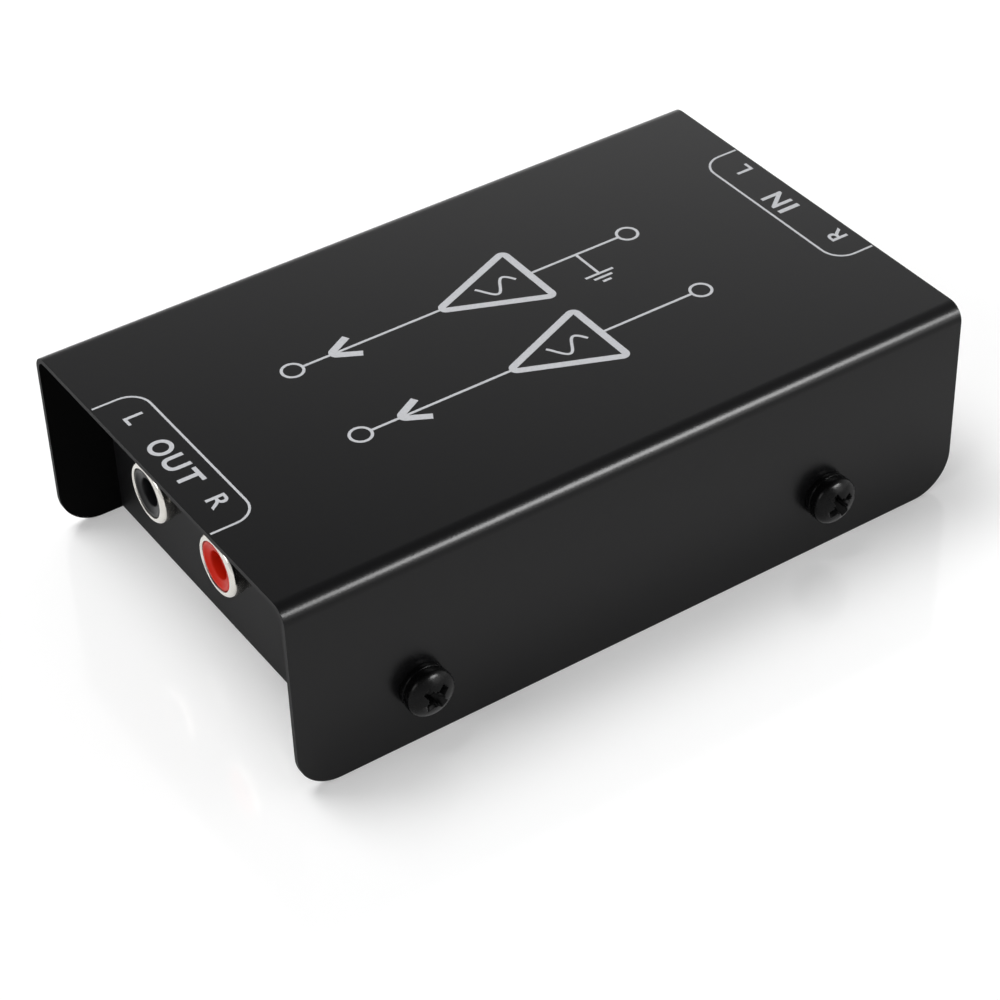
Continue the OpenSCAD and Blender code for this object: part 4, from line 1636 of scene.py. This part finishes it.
@dataclass
class GroundTerminal:
    """Threaded post with a lock nut, a clamp washer and a knurled thumb nut."""

    y: float = 21.8
    z: float = 18.7
    thread_radius: float = 2.0
    pitch: float = 0.7
    lug_face: float = 42.4
    head_face: float = 40.4
    head_radius: float = 3.5
    panel: float = 44.0
    tooth_washer: float = 0.5
    lock_face: float = 46.7
    washer_face: float = 47.5
    nut_end: float = 52.5
    post_end: float = 53.0
    nut_radius: float = 4.3
    knurls: int = 24
    knurl_depth: float = 0.3
    # Room between the thread and a nut's bore, and between the turning nut's end and the washer
    play: float = 0.05
    running_gap: float = 0.01
    lock_nut_flat: float = 3.5
    lock_nut_drop: float = 0.32
    lock_nut_steps: int = 96

    def on_axis(self, draft: BMesh) -> BMesh:
        """Lay a draft that stands on Z onto the post's axis."""
        return place(draft, shift(0, self.y, self.z) @ lay())

    def knurled_nut(self) -> BMesh:
        """Thumb nut with straight knurling behind a plain band, and both ends chamfered.

        Returns:
            A closed draft with its faces outward.
        """
        low, high = self.washer_face + self.running_gap, self.nut_end
        # Height, how far the edge is drawn in, and how deep the knurl is there
        levels = [
            (low, 0.3, 0.0), (low + 0.12, 0.08, 0.0), (low + 0.3, 0.0, 0.0), (low + 0.8, 0.0, 0.0),
            (low + 0.98, 0.0, 1.0), (high - 0.5, 0.0, 1.0), (high - 0.22, 0.12, 0.8), (high, 0.5, 0.1),
        ]
        steps = self.knurls * KNURL_STEPS
        phases = [(i % KNURL_STEPS) / KNURL_STEPS for i in range(steps)]
        grooves = [max(0.0, math.cos(2 * math.pi * phase)) ** 0.8 for phase in phases]
        draft = bmesh.new()
        rings = []
        for height, inset, share in levels:
            radii = [self.nut_radius - inset - self.knurl_depth * share * groove for groove in grooves]
            rings.append(add_ring(draft, radii, [height] * steps))
        bore = self.thread_radius + self.play
        for height, radius in ((high, bore + 0.45), (high - 0.4, bore), (low + 0.3, bore), (low, bore + 0.3)):
            rings.append(add_ring(draft, [radius] * steps, [height] * steps))
        return skin(draft, rings, True)

    def lock_nut(self, material: Material) -> Object:
        """Hexagonal nut with both faces chamfered by a cone, whose meeting with the flats is curved.

        Args:
            material: The piece's finish.

        Returns:
            The nut in its place.
        """
        low, high = self.panel + self.tooth_washer, self.lock_face
        flat, inner = self.lock_nut_flat, self.thread_radius + self.play
        corner = 2 * flat / math.sqrt(3)
        slope = self.lock_nut_drop / (corner - flat)
        steps = self.lock_nut_steps
        # How far the hexagon reaches at each turn, and how much the cones take off there
        turns = [2 * math.pi * i / steps for i in range(steps)]
        reach = [flat / math.cos((t + math.pi / 6) % (math.pi / 3) - math.pi / 6) for t in turns]
        drop = [slope * (r - flat) for r in reach]
        levels = (
            ([inner + 0.3] * steps, [low] * steps),
            ([flat - 0.12] * steps, [low] * steps),
            ([r - 0.03 for r in reach], [low + d + 0.01 for d in drop]),
            (reach, [low + d + 0.06 for d in drop]),
            (reach, [high - d - 0.06 for d in drop]),
            ([r - 0.03 for r in reach], [high - d - 0.01 for d in drop]),
            ([flat - 0.12] * steps, [high] * steps),
            ([inner + 0.3] * steps, [high] * steps),
            ([inner] * steps, [high - 0.3] * steps),
            ([inner] * steps, [low + 0.3] * steps),
        )
        draft = bmesh.new()
        skin(draft, [add_ring(draft, radii, heights) for radii, heights in levels], True)
        return to_object(self.on_axis(draft), "hexagon_lock_nut", material, 30)

    def washer(self) -> BMesh:
        """Plain washer with rounded edges.

        Returns:
            A closed draft with its faces outward.
        """
        low, high = self.lock_face, self.washer_face
        inner, outer, eased = self.thread_radius + 0.1, self.nut_radius - 0.2, 0.15
        return revolve([
            (inner, low + 0.1), (inner + 0.1, low),
            (outer - eased, low), (outer - 0.04, low + 0.05), (outer, low + eased),
            (outer, high - eased), (outer - 0.04, high - 0.05), (outer - eased, high),
            (inner + 0.1, high), (inner, high - 0.1),
        ], 96)

    def build(self, shop: Workshop) -> None:
        """Make the terminal's pieces and hand them over.

        Args:
            shop: Finishes, recipes and the hand-over.
        """
        nickel = shop.finishes[Slot.NICKEL]
        profile = [
            (0, self.head_face), (self.head_radius - 0.3, self.head_face),
            (self.head_radius, self.head_face + 0.3), (self.head_radius, self.lug_face), (0, self.lug_face),
        ]
        head = to_object(revolve(profile, 64, False), "post_head", nickel)
        # A straight slot for a screwdriver
        carve(head, box((-4, -0.4, 39), (4, 0.4, self.head_face + 0.8)))
        ease(head, 0.06)
        rod = threaded_rod(self.thread_radius, self.pitch, self.lug_face - 0.1, self.post_end)
        post = to_object(self.on_axis(join([to_draft(head), rod])), "threaded_ground_post", nickel, 40)
        shop.hand_over(post, Body.CASE, Slot.NICKEL, "ground_post")
        shop.hand_over(self.lock_nut(nickel), Body.CASE, Slot.NICKEL, "lock_nut")
        washer = to_object(self.on_axis(self.washer()), "plain_clamp_washer", nickel)
        shop.hand_over(washer, Body.WASHER, Slot.NICKEL, "clamp_washer")
        nut = to_object(self.on_axis(self.knurled_nut()), "knurled_thumb_nut", nickel, 28)
        shop.hand_over(nut, Body.NUT, Slot.NICKEL, "thumb_nut")


@dataclass(frozen=True)
class EasedPart:
    """A stamped or moulded part that is dressed as a copy of its CAD node with eased edges."""

    node: str
    name: str
    slot: Slot
    width: float

    def build(self, shop: Workshop) -> None:
        """Make the copy and hand it over.

        Args:
            shop: Finishes, recipes and the hand-over.
        """
        piece = copy_node(self.node, self.name, shop.finishes[self.slot], self.width)
        shop.hand_over(piece, Body.CASE, self.slot, self.node)


EASED_PARTS = (
    EasedPart("tooth_washer", "toothed_lock_washer", Slot.ZINC, 0.05),
    EasedPart("ground_lug", "solder_lug", Slot.TINNED, 0.06),
    EasedPart("power_socket_body", "power_socket_housing", Slot.MOULDED, 0.2),
    EasedPart("power_socket_pin", "power_centre_pin", Slot.NICKEL, 0.05),
    EasedPart("power_socket_contact", "power_spring_leaf", Slot.BRONZE, 0.05),
    EasedPart("output_centre_contacts", "output_spring_contacts", Slot.BRONZE, 0.04),
    EasedPart("input_centre_contacts", "input_spring_contacts", Slot.BRONZE, 0.04),
    EasedPart("output_ground_tabs", "output_tinned_tabs", Slot.TINNED, 0.05),
    EasedPart("input_ground_tabs", "input_tinned_tabs", Slot.TINNED, 0.05),
    EasedPart("board_standoffs", "swaged_standoffs", Slot.ZINC, 0.1),
    EasedPart("amplifier_chip", "eight_pin_amplifier", Slot.EPOXY, 0.08),
    EasedPart("chip_socket", "open_frame_chip_socket", Slot.MOULDED, 0.08),
    EasedPart("chip_pins", "formed_chip_pins", Slot.TINNED, 0.03),
    EasedPart("voltage_regulator", "transistor_case_regulator", Slot.EPOXY, 0.12),
    EasedPart("film_capacitors", "boxed_film_capacitors", Slot.RED_FILM, 0.35),
    EasedPart("component_leads", "round_component_leads", Slot.TINNED, 0.02),
    EasedPart("circuit_board", "drilled_board", Slot.BOARD, 0.03),
)


@dataclass
class Layout:
    """Where the parts stand on the board, in the columns between the two socket blocks."""

    column: float = 30.95 / 31
    board_top: float = 12.2
    board_bottom: float = 10.6
    resistor_row: float = 12.0
    resistor_axis: float = 13.65

    @property
    def resistor_columns(self) -> list[float]:
        """X of the six columns of resistors."""
        return [(4 * i - 22) * self.column for i in range(6)]

    @property
    def films(self) -> list[Point2]:
        """Middles of the film capacitors."""
        return [(x * self.column, side * 13.0) for x in (4, 9, 14) for side in (1, -1)]

    @property
    def coupling_cans(self) -> list[Point2]:
        """Middles of the coupling capacitors."""
        return [(x * self.column, side * 8.0) for x in (-27, 20) for side in (1, -1)]

    @property
    def supply_cans(self) -> list[Point2]:
        """Middles of the supply capacitors."""
        return [(-14 * self.column, 0.0), (24 * self.column, 0.0)]

    def joints(self) -> list[Point2]:
        """Where leads come through the board.

        Returns:
            X and Y of each solder joint.
        """
        rows = [side * self.resistor_row + e * 4.9 for side in (1, -1) for e in (1, -1)]
        spots = [(x, y) for x in self.resistor_columns for y in rows]
        spots += [(x, y + e * 2.5) for x, y in self.films for e in (1, -1)]
        spots += [(x + e, y) for x, y in self.coupling_cans for e in (1, -1)]
        spots += [(x, e * 2.5) for x, _ in self.supply_cans for e in (1, -1)]
        spots += [(4 * self.column + i * 2.54, e * 3.81) for i in (-1.5, -0.5, 0.5, 1.5) for e in (1, -1)]
        spots += [(13.5 * self.column, i * 1.27) for i in (-1, 0, 1)]
        spots += [(24 * self.column, -13 + e * 4.0) for e in (1, -1)]
        spots += [(end * x, y) for end in (1, -1) for x in (35.15, 41.35) for y in (9.1, -9.1)]
        return spots + [(28.75, -21.8), (32.45, -21.8), (38.4, 21.8)]


@dataclass
class BoardDetail:
    """Solder joints, copper tracks under the mask and printed outlines on the circuit board."""

    layout: Layout
    track_width: float = 0.8
    rail_width: float = 1.7
    track_film: float = 0.05
    outline_stroke: float = 0.18

    def joint(self, material: Material) -> Object:
        """One solder fillet under z = 0."""
        profile = [
            (0.0, -0.85), (0.34, -0.8), (0.42, -0.5), (0.6, -0.22), (0.95, -0.02), (0.95, 0.02), (0.0, 0.02),
        ]
        return to_object(revolve(profile, 10, False), "joint_template", material, 60)

    def signal_tracks(self) -> list[Line2]:
        """Underside tracks of both channels, from the input sockets to the output sockets.

        Returns:
            Each line's points, and whether it closes.
        """
        lines = []
        for side in (1, -1):
            routes = [
                [(35.15, 9.1), (24.0, 9.1), (22.9, 8.0), (20.97, 8.0)],
                [(18.97, 8.0), (16.5, 10.5), (13.98, 10.5)],
                [(13.98, 10.5), (8.99, 10.5)],
                [(3.99, 10.5), (3.99, 7.0), (5.26, 5.7), (5.26, 3.81)],
                [(-2.0, 7.1), (0.18, 4.9), (0.18, 3.81)],
                [(-22.0, 7.1), (-24.5, 7.1), (-25.4, 8.0), (-25.95, 8.0)],
                [(-27.95, 8.0), (-30.0, 8.0), (-31.1, 9.1), (-35.15, 9.1)],
            ]
            links = ((-2, 16.9), (-6, 7.1), (-10, 16.9), (-14, 7.1), (-18, 16.9))
            routes += [[(x - 4, y), (x, y)] for x, y in links]
            routes += [[(x, 15.5), (x, 18.8)] for x in (3.99, 8.99, 13.98)]
            lines += [([(x, side * y) for x, y in route], False) for route in routes]
        return lines

    def ground_rails(self) -> list[Line2]:
        """Underside ground rails along both edges of the board.

        Returns:
            Each line's points, and whether it closes.
        """
        return [
            ([(-41.35, 9.1), (-41.35, 16.6), (-39.1, 18.8), (36.0, 18.8), (38.4, 21.2), (38.4, 21.8)], False),
            ([(-41.35, -9.1), (-41.35, -16.6), (-39.1, -18.8), (20.0, -18.8)], False),
            ([(-41.35, 9.1), (-41.35, -9.1)], False),
            ([(41.35, 9.1), (41.35, -9.1)], False),
            ([(32.45, -21.8), (32.45, -15.5), (38.8, -9.1), (41.35, -9.1)], False),
        ]

    def supply_tracks(self) -> list[Line2]:
        """Top tracks of the supply, from the power socket through the diode and the regulator.

        Returns:
            Each line's points, and whether it closes.
        """
        return [
            ([(28.75, -21.8), (28.75, -18.9), (26.9, -17.0), (23.96, -17.0)], False),
            ([(23.96, -9.0), (23.96, -2.5)], False),
            ([(23.96, -2.5), (19.5, -2.5), (18.27, -1.27), (13.48, -1.27)], False),
            ([(13.48, 1.27), (-6.5, 1.27), (-7.7, 2.5), (-13.98, 2.5)], False),
            ([(13.48, 0.0), (17.0, 0.0), (19.5, 2.5), (23.96, 2.5)], False),
            ([(-41.35, 4.0), (-33.0, 4.0), (-27.0, -2.5), (-13.98, -2.5)], False),
        ]

    def outlines(self) -> list[Line2]:
        """Printed outlines around the parts.

        Returns:
            Each line's points, and whether it closes.
        """
        def frame_of(x: float, y: float, half_x: float, half_y: float) -> Line2:
            """Closed rectangle about a middle.

            Args:
                x: The middle's X.
                y: The middle's Y.
                half_x: Half of its size along X.
                half_y: Half of its size along Y.

            Returns:
                Its corners, and that it closes.
            """
            corners = ((-half_x, -half_y), (half_x, -half_y), (half_x, half_y), (-half_x, half_y))
            return [(x + a, y + b) for a, b in corners], True

        place = self.layout
        lines = [frame_of(x, y, 2.1, 3.95) for x, y in place.films]
        rows = [side * place.resistor_row for side in (1, -1)]
        lines += [frame_of(x, y, 1.5, 3.5) for x in place.resistor_columns for y in rows]
        lines += [(arc(spot, (2.8, 2.8), 0, 348, 29), True) for spot in place.coupling_cans]
        lines += [(arc(spot, (5.35, 5.35), 0, 352, 44), True) for spot in place.supply_cans]
        lines += [frame_of(4 * place.column, 0.0, 5.0, 4.95), frame_of(24 * place.column, -13.0, 1.65, 2.6)]
        lines += [frame_of(side * 36.6, 0.0, 6.0, 15.1) for side in (1, -1)]
        regulator = arc((13.5 * place.column - 0.5, 0.0), (2.9, 2.9), -60, 60, 12)
        lines.append(([*regulator, (11.5, 2.5), (11.5, -2.5)], True))
        return lines

    def build(self, shop: Workshop) -> None:
        """Make the joints, tracks and outlines and hand them over.

        Args:
            shop: Finishes, recipes and the hand-over.
        """
        below, above = self.layout.board_bottom, self.layout.board_top
        spots = [((x, y, below), STILL) for x, y in self.layout.joints()]
        joints = shop.repeat(self.joint(shop.solder), "solder_joints", spots, 0.12)
        shop.hand_over(joints, Body.CASE, None)
        films = (
            ("signal_tracks", self.signal_tracks(), self.track_width, below, shop.tracks),
            ("ground_rails", self.ground_rails(), self.rail_width, below, shop.tracks),
            ("supply_tracks", self.supply_tracks(), self.track_width, above, shop.tracks),
            ("board_outlines", self.outlines(), self.outline_stroke, above, shop.ink),
        )
        for name, lines, width, level, finish in films:
            raised = [([(x, y, level) for x, y in points], closed) for points, closed in lines]
            piece = shop.trace(name, raised, finish, width, self.track_film)
            shop.hand_over(piece, Body.CASE, None)


@dataclass
class Cans:
    """Electrolytic capacitors of one size: shrink sleeve, vented top and printed stripe."""

    name: str
    node: str
    slot: Slot
    spots: list[Point2]
    radius: float
    height: float
    floor: float
    # Direction of the stripe's middle and half of its width, in degrees from +X
    stripe_turn: float
    stripe_half: float = 17.0

    def sleeve(self, material: Material) -> Object:
        """Sleeved can with a rolled groove at its foot, shrunk over the rim of its top.

        Args:
            material: The piece's finish.

        Returns:
            The sleeve, to be repeated.
        """
        r, h = self.radius, self.height
        profile = [
            (0.0, 0.3), (r - 0.7, 0.3), (r - 0.6, 0.05), (r - 0.25, 0.0), (r - 0.02, 0.25), (r, 0.6),
            (r, 1.1), (r - 0.22, 1.4), (r - 0.22, 1.7), (r, 2.0), (r, h - 0.7), (r - 0.05, h - 0.3),
            (r - 0.25, h - 0.06), (r - 0.5, h), (r * 0.76, h - 0.03), (r * 0.75, h - 0.1), (0.0, h - 0.1),
        ]
        return to_object(revolve(profile, 48, False), "sleeve_template", material, 50)

    def top(self, material: Material) -> Object:
        """Aluminium disc with the cross of its vent pressed in.

        Args:
            material: The piece's finish.

        Returns:
            The disc, to be repeated.
        """
        r, h = self.radius * 0.75, self.height
        profile = [(0.0, h - 0.2), (r, h - 0.2), (r, h - 0.07), (r - 0.08, h - 0.04), (0.0, h - 0.04)]
        piece = to_object(revolve(profile, 48, False), "top_template", material, 40)
        arm = self.radius * 0.52
        for turn in (45, 135):
            groove = box((-arm, -0.09, h - 0.12), (arm, 0.09, h + 0.1))
            carve(piece, place(groove, Matrix.Rotation(math.radians(turn), 4, "Z")))
        return piece

    def stripe(self, material: Material) -> Object:
        """Printed stripe with gaps that mark the negative lead.

        Args:
            material: The piece's finish.

        Returns:
            The stripe, to be repeated.
        """
        r = self.radius
        first, last = self.stripe_turn - self.stripe_half, self.stripe_turn + self.stripe_half
        drafts = []
        marks = [2.4 + i * 2.0 for i in range(int((self.height - 4.0) / 2.0) + 1)]
        gaps = [level for mark in marks for level in (mark + 0.65, mark + 1.15)]
        levels = [2.15, *gaps, self.height - 0.75]
        for low, high in zip(levels[0::2], levels[1::2]):
            if high - low < 0.1:
                continue
            outer = arc((0, 0), (r + 0.015, r + 0.015), first, last, 8)
            inner = arc((0, 0), (r - 0.02, r - 0.02), last, first, 8)
            drafts.append(prism(outer + inner, low, high))
        return to_object(join(drafts), "stripe_template", material, 40)

    def build(self, shop: Workshop) -> None:
        """Make the capacitors and hand them over.

        Args:
            shop: Finishes, recipes and the hand-over.
        """
        spots = [((x, y, self.floor), STILL) for x, y in self.spots]
        sleeves = shop.repeat(self.sleeve(shop.finishes[self.slot]), self.name + "_sleeves", spots)
        shop.hand_over(sleeves, Body.CASE, self.slot, self.node)
        tops = shop.repeat(self.top(shop.aluminium), self.name + "_tops", spots)
        shop.hand_over(tops, Body.CASE, None)
        stripes = shop.repeat(self.stripe(shop.ink), self.name + "_stripes", spots)
        shop.hand_over(stripes, Body.CASE, None)


@dataclass
class Resistors:
    """Lacquered film resistors with painted value bands, and the banded diode."""

    layout: Layout
    length: float = 6.3
    radius: float = 1.15
    waist: float = 0.95
    # Bands of each column, from the inner end outward
    codes: tuple[tuple[str, ...], ...] = (
        ("yellow", "violet", "black", "brown"), ("brown", "black", "black", "red"),
        ("red", "red", "black", "brown"), ("brown", "black", "black", "red"),
        ("yellow", "violet", "black", "brown"), ("brown", "black", "violet", "red"),
    )
    band_places: tuple[float, ...] = (-2.35, -0.9, 0.0, 0.9)
    band_half: float = 0.28
    paint: float = 0.012
    diode_centre: Point3 = (23.961, -13.0, 13.8)
    diode_radius: float = 1.3

    def body(self, material: Material) -> Object:
        """One dog-bone body about the origin, along Z.

        Args:
            material: The piece's finish.

        Returns:
            The body, to be repeated.
        """
        half, r, w = self.length / 2, self.radius, self.waist
        side = [
            (r * 0.45, half), (r * 0.85, half - 0.12), (r, half - 0.5), (r, half - 1.3),
            (w + 0.04, half - 1.75), (w, half - 2.1),
        ]
        profile = [(0.0, half), *side, *((radius, -z) for radius, z in reversed(side)), (0.0, -half)]
        return to_object(revolve(profile, 32, False), "body_template", material, 60)

    def band(self, place_mm: float, material: Material) -> Object:
        """One painted ring at a place along the body.

        Args:
            place_mm: The ring's middle, from the middle of the body.
            material: The paint.

        Returns:
            The ring, to be repeated.
        """
        # The outer bands lie on the bulge at each end, and the others on the waist
        r = (self.radius if abs(place_mm) > 1.9 else self.waist) + self.paint
        low, high = place_mm - self.band_half, place_mm + self.band_half
        profile = [(r - 0.1, low), (r, low), (r, high), (r - 0.1, high)]
        return to_object(revolve(profile, 32), "band_template", material, 40)

    def build(self, shop: Workshop) -> None:
        """Make the bodies and the bands and hand them over.

        Args:
            shop: Finishes, recipes and the hand-over.
        """
        place = self.layout
        along = Euler((-math.pi / 2, 0, 0))
        spots = {}
        for i, x in enumerate(place.resistor_columns):
            for side in (1, -1):
                spots[i, side] = ((x, side * place.resistor_row, place.resistor_axis), along)
        body = self.body(shop.finishes[Slot.LACQUER])
        bodies = shop.repeat(body, "lacquered_resistors", list(spots.values()))
        shop.hand_over(bodies, Body.CASE, Slot.LACQUER, "resistor_bodies")
        for colour, paint in shop.bands.items():
            rings = []
            for level, place_mm in enumerate(self.band_places):
                chosen = [spot for (i, _), spot in spots.items() if self.codes[i][level] == colour]
                if chosen:
                    rings.append(shop.repeat(self.band(place_mm, paint), "rings", chosen))
            whole = bmesh.new()
            for ring in rings:
                whole.from_mesh(ring.data)
                discard(ring)
            shop.hand_over(to_object(whole, f"{colour}_bands", paint), Body.CASE, None)
        self.diode(shop)

    def diode(self, shop: Workshop) -> None:
        """Make the diode's case and its cathode band.

        Args:
            shop: Finishes, recipes and the hand-over.
        """
        r = self.diode_radius
        case = [(0.0, 2.3), (r - 0.2, 2.3), (r, 2.1), (r, -2.1), (r - 0.2, -2.3), (0.0, -2.3)]
        band = [(r - 0.1, 1.1), (r + self.paint, 1.1), (r + self.paint, 1.7), (r - 0.1, 1.7)]
        turn = shift(*self.diode_centre) @ Matrix.Rotation(-math.pi / 2, 4, "X")
        piece = to_object(place(revolve(case, 40, False), turn), "diode_case", shop.finishes[Slot.EPOXY], 40)
        shop.hand_over(piece, Body.CASE, Slot.EPOXY, "polarity_diode")
        mark = to_object(place(revolve(band, 40), turn), "diode_cathode_band", shop.ink, 40)
        shop.hand_over(mark, Body.CASE, None)


@dataclass
class BoardScrews:
    """Four small pan-head screws that hold the board to its standoffs."""

    places: tuple[Point2, ...] = ((24.0, 22.5), (-24.0, 22.5), (24.0, -22.5), (-24.0, -22.5))
    board_top: float = 12.2
    screw: CrossScrew = field(
        default_factory=lambda: CrossScrew(
            thread_radius=1.5, pitch=0.5, length=6.0, head_radius=2.75, head_height=1.85, rim=0.35
        )
    )
    # Each screw stops at its own angle, in degrees
    stops: tuple[float, ...] = (20.0, 63.0, -8.0, 41.0)

    def build(self, shop: Workshop) -> None:
        """Make the screws and hand them over.

        Args:
            shop: Finishes, recipes and the hand-over.
        """
        template = self.screw.template(shop.finishes[Slot.ZINC])
        spots = [
            ((x, y, self.board_top), Euler((0, 0, math.radians(stop))))
            for (x, y), stop in zip(self.places, self.stops)
        ]
        piece = shop.repeat(template, "board_pan_head_screws", spots)
        shop.hand_over(piece, Body.CASE, Slot.ZINC, "board_screws")


@dataclass
class GroundWire:
    """Sleeved wire from the solder lug down into the board."""

    radius: float = 0.69
    bend: float = 1.6
    route: tuple[Point3, ...] = ((42.4, 21.8, 13.8), (38.4, 21.8, 13.8), (38.4, 21.8, 9.4))

    def build(self, shop: Workshop) -> None:
        """Make the wire and hand it over.

        Args:
            shop: Finishes, recipes and the hand-over.
        """
        line, finish = (self.route, False), shop.finishes[Slot.WIRE]
        piece = shop.trace("sleeved_ground_wire", [line], finish, 2 * self.radius, corner=self.bend)
        shop.hand_over(piece, Body.CASE, Slot.WIRE, "ground_wire")


# ---- Studio ----


@dataclass
class Softbox:
    """One rectangular lamp, aimed at the object. Lengths are in metres and angles in degrees."""

    name: str
    azimuth: float
    elevation: float
    distance: float
    width: float
    height: float
    power: float
    mirrored: bool = True
    lights: bool = True

    def build(self) -> None:
        """Make the lamp. The azimuth runs from +X towards +Y, in degrees."""
        data = bpy.data.lights.new(self.name, "AREA")
        data.shape = "RECTANGLE"
        data.size, data.size_y = self.width, self.height
        data.energy = self.power
        lamp = bpy.data.objects.new(self.name, data)
        turn, rise = math.radians(self.azimuth), math.radians(self.elevation)
        ray = Vector((math.cos(turn) * math.cos(rise), math.sin(turn) * math.cos(rise), math.sin(rise)))
        lamp.location = ray * self.distance
        lamp.rotation_euler = ray.to_track_quat("Z", "Y").to_euler()
        lamp.visible_camera = False
        lamp.visible_glossy = self.mirrored
        lamp.visible_diffuse = self.lights
        bpy.context.scene.collection.objects.link(lamp)


@dataclass
class Studio:
    """Camera, paper floor, surround and lamps."""

    camera_place: Point3 = (-0.168331, -0.259568, 0.252130)
    camera_turn: Point3 = (50.923, 1.5493, -34.0771)
    lens: float = 102.334
    floor_size: float = 6.0
    boxes: tuple[Softbox, ...] = (
        Softbox("key", 125.0, 69.0, 1.5, 0.75, 0.75, power=14.0, mirrored=False),
        Softbox("left_window", 188.0, 32.0, 1.4, 0.8, 0.6, power=6.0),
        # Both are seen in the gloss of the front bend and of the screws, and light nothing else
        Softbox("front_strip", -59.0, 32.0, 1.2, 0.45, 0.34, power=19.0, lights=False),
        Softbox("front_glow", -59.0, 16.0, 1.2, 0.5, 0.36, power=1.2, lights=False),
    )
    surround_light: float = 0.22
    # How much of the room's light is left towards -X and towards +X, at these shares of the ray
    side_light: tuple[Point2, Point2] = ((0.25, 0.9), (0.62, 2.2))
    # The room's light by the sine of the elevation, as the glossy faces see it
    room: tuple[Point2, ...] = (
        (0.0, 1.0), (0.45, 0.72), (0.574, 0.56), (0.64, 0.42), (0.766, 0.26), (0.866, 0.2), (1.0, 0.1),
    )

    def camera(self) -> None:
        """Place the camera and make it the scene's own."""
        data = bpy.data.cameras.new("camera")
        data.lens = self.lens
        data.sensor_width = 36.0
        data.clip_start, data.clip_end = 0.01, 50.0
        camera = bpy.data.objects.new("camera", data)
        camera.location = self.camera_place
        camera.rotation_euler = [math.radians(a) for a in self.camera_turn]
        bpy.context.scene.collection.objects.link(camera)
        bpy.context.scene.camera = camera

    def floor(self) -> None:
        """Lay the paper just under the resting faces."""
        draft = bmesh.new()
        bmesh.ops.create_grid(draft, x_segments=1, y_segments=1, size=self.floor_size / 2)
        floor = to_object(draft, "paper_floor", Paper("seamless_white_paper").build())

    def surround(self) -> None:
        """Light the room: white to the eye, bright at the horizon and dark overhead."""
        world = bpy.data.worlds.new("surround")
        bpy.context.scene.world = world
        world.use_nodes = True
        tree = world.node_tree
        tree.nodes.clear()
        ray = add_node(tree, "ShaderNodeTexCoord").outputs["Generated"]
        parts = add_node(tree, "ShaderNodeSeparateXYZ", inputs={0: ray}).outputs
        rise = parts["Z"]
        (left, dim), (right, bright) = self.side_light
        ends = {"From Min": left, "From Max": right, "To Min": dim, "To Max": bright}
        side = add_node(tree, "ShaderNodeMapRange", inputs={"Value": parts["X"], **ends})
        shade = add_node(tree, "ShaderNodeValToRGB", inputs={"Fac": rise})
        stops = shade.color_ramp.elements
        while len(stops) < len(self.room):
            stops.new(0.5)
        for stop, (height, light) in zip(stops, self.room):
            stop.position, stop.color = height, (light, light, light, 1.0)
        path = add_node(tree, "ShaderNodeLightPath").outputs
        room, fill, plain = (
            add_node(tree, "ShaderNodeBackground", inputs={"Color": colour, "Strength": strength}).outputs[0]
            for colour, strength in (
                (shade.outputs["Color"], side.outputs["Result"]), (WHITE, self.surround_light), (WHITE, 1.0),
            )
        )
        lit = add_node(tree, "ShaderNodeMixShader", inputs={0: path["Is Diffuse Ray"], 1: room, 2: fill})
        seen = add_node(
            tree, "ShaderNodeMixShader", inputs={0: path["Is Camera Ray"], 1: lit.outputs[0], 2: plain}
        )
        add_node(tree, "ShaderNodeOutputWorld", inputs={"Surface": seen.outputs[0]})

    def build(self) -> None:
        """Set up the camera, the floor, the surround and the lamps."""
        self.camera()
        self.floor()
        self.surround()
        for lamp in self.boxes:
            lamp.build()
        bpy.context.scene.view_settings.view_transform = "Standard"


def main() -> None:
    """Build the studio and every assembly in order."""
    logging.basicConfig(level=logging.INFO, format="%(message)s")
    Studio().build()
    shop = Workshop()
    shop.open()
    shop.dress_nodes()
    cover = Cover()
    cover.build(shop)
    PrintedMarks().build(shop)
    CaseScrews(cover).build(shop)
    Tray().build(shop)
    for end in End:
        PhonoSockets(end).build(shop)
    GroundTerminal().build(shop)
    GroundWire().build(shop)
    for part in EASED_PARTS:
        part.build(shop)
    layout = Layout()
    BoardDetail(layout).build(shop)
    BoardScrews().build(shop)
    Resistors(layout).build(shop)
    Cans(
        "supply", "supply_capacitors", Slot.BLUE_SLEEVE, layout.supply_cans,
        radius=5.0, height=12.5, floor=layout.board_top, stripe_turn=90.0,
    ).build(shop)
    Cans(
        "coupling", "coupling_capacitors", Slot.BLACK_SLEEVE, layout.coupling_cans,
        radius=2.5, height=11.0, floor=layout.board_top, stripe_turn=180.0,
    ).build(shop)


if __name__ == "__main__":
    main()
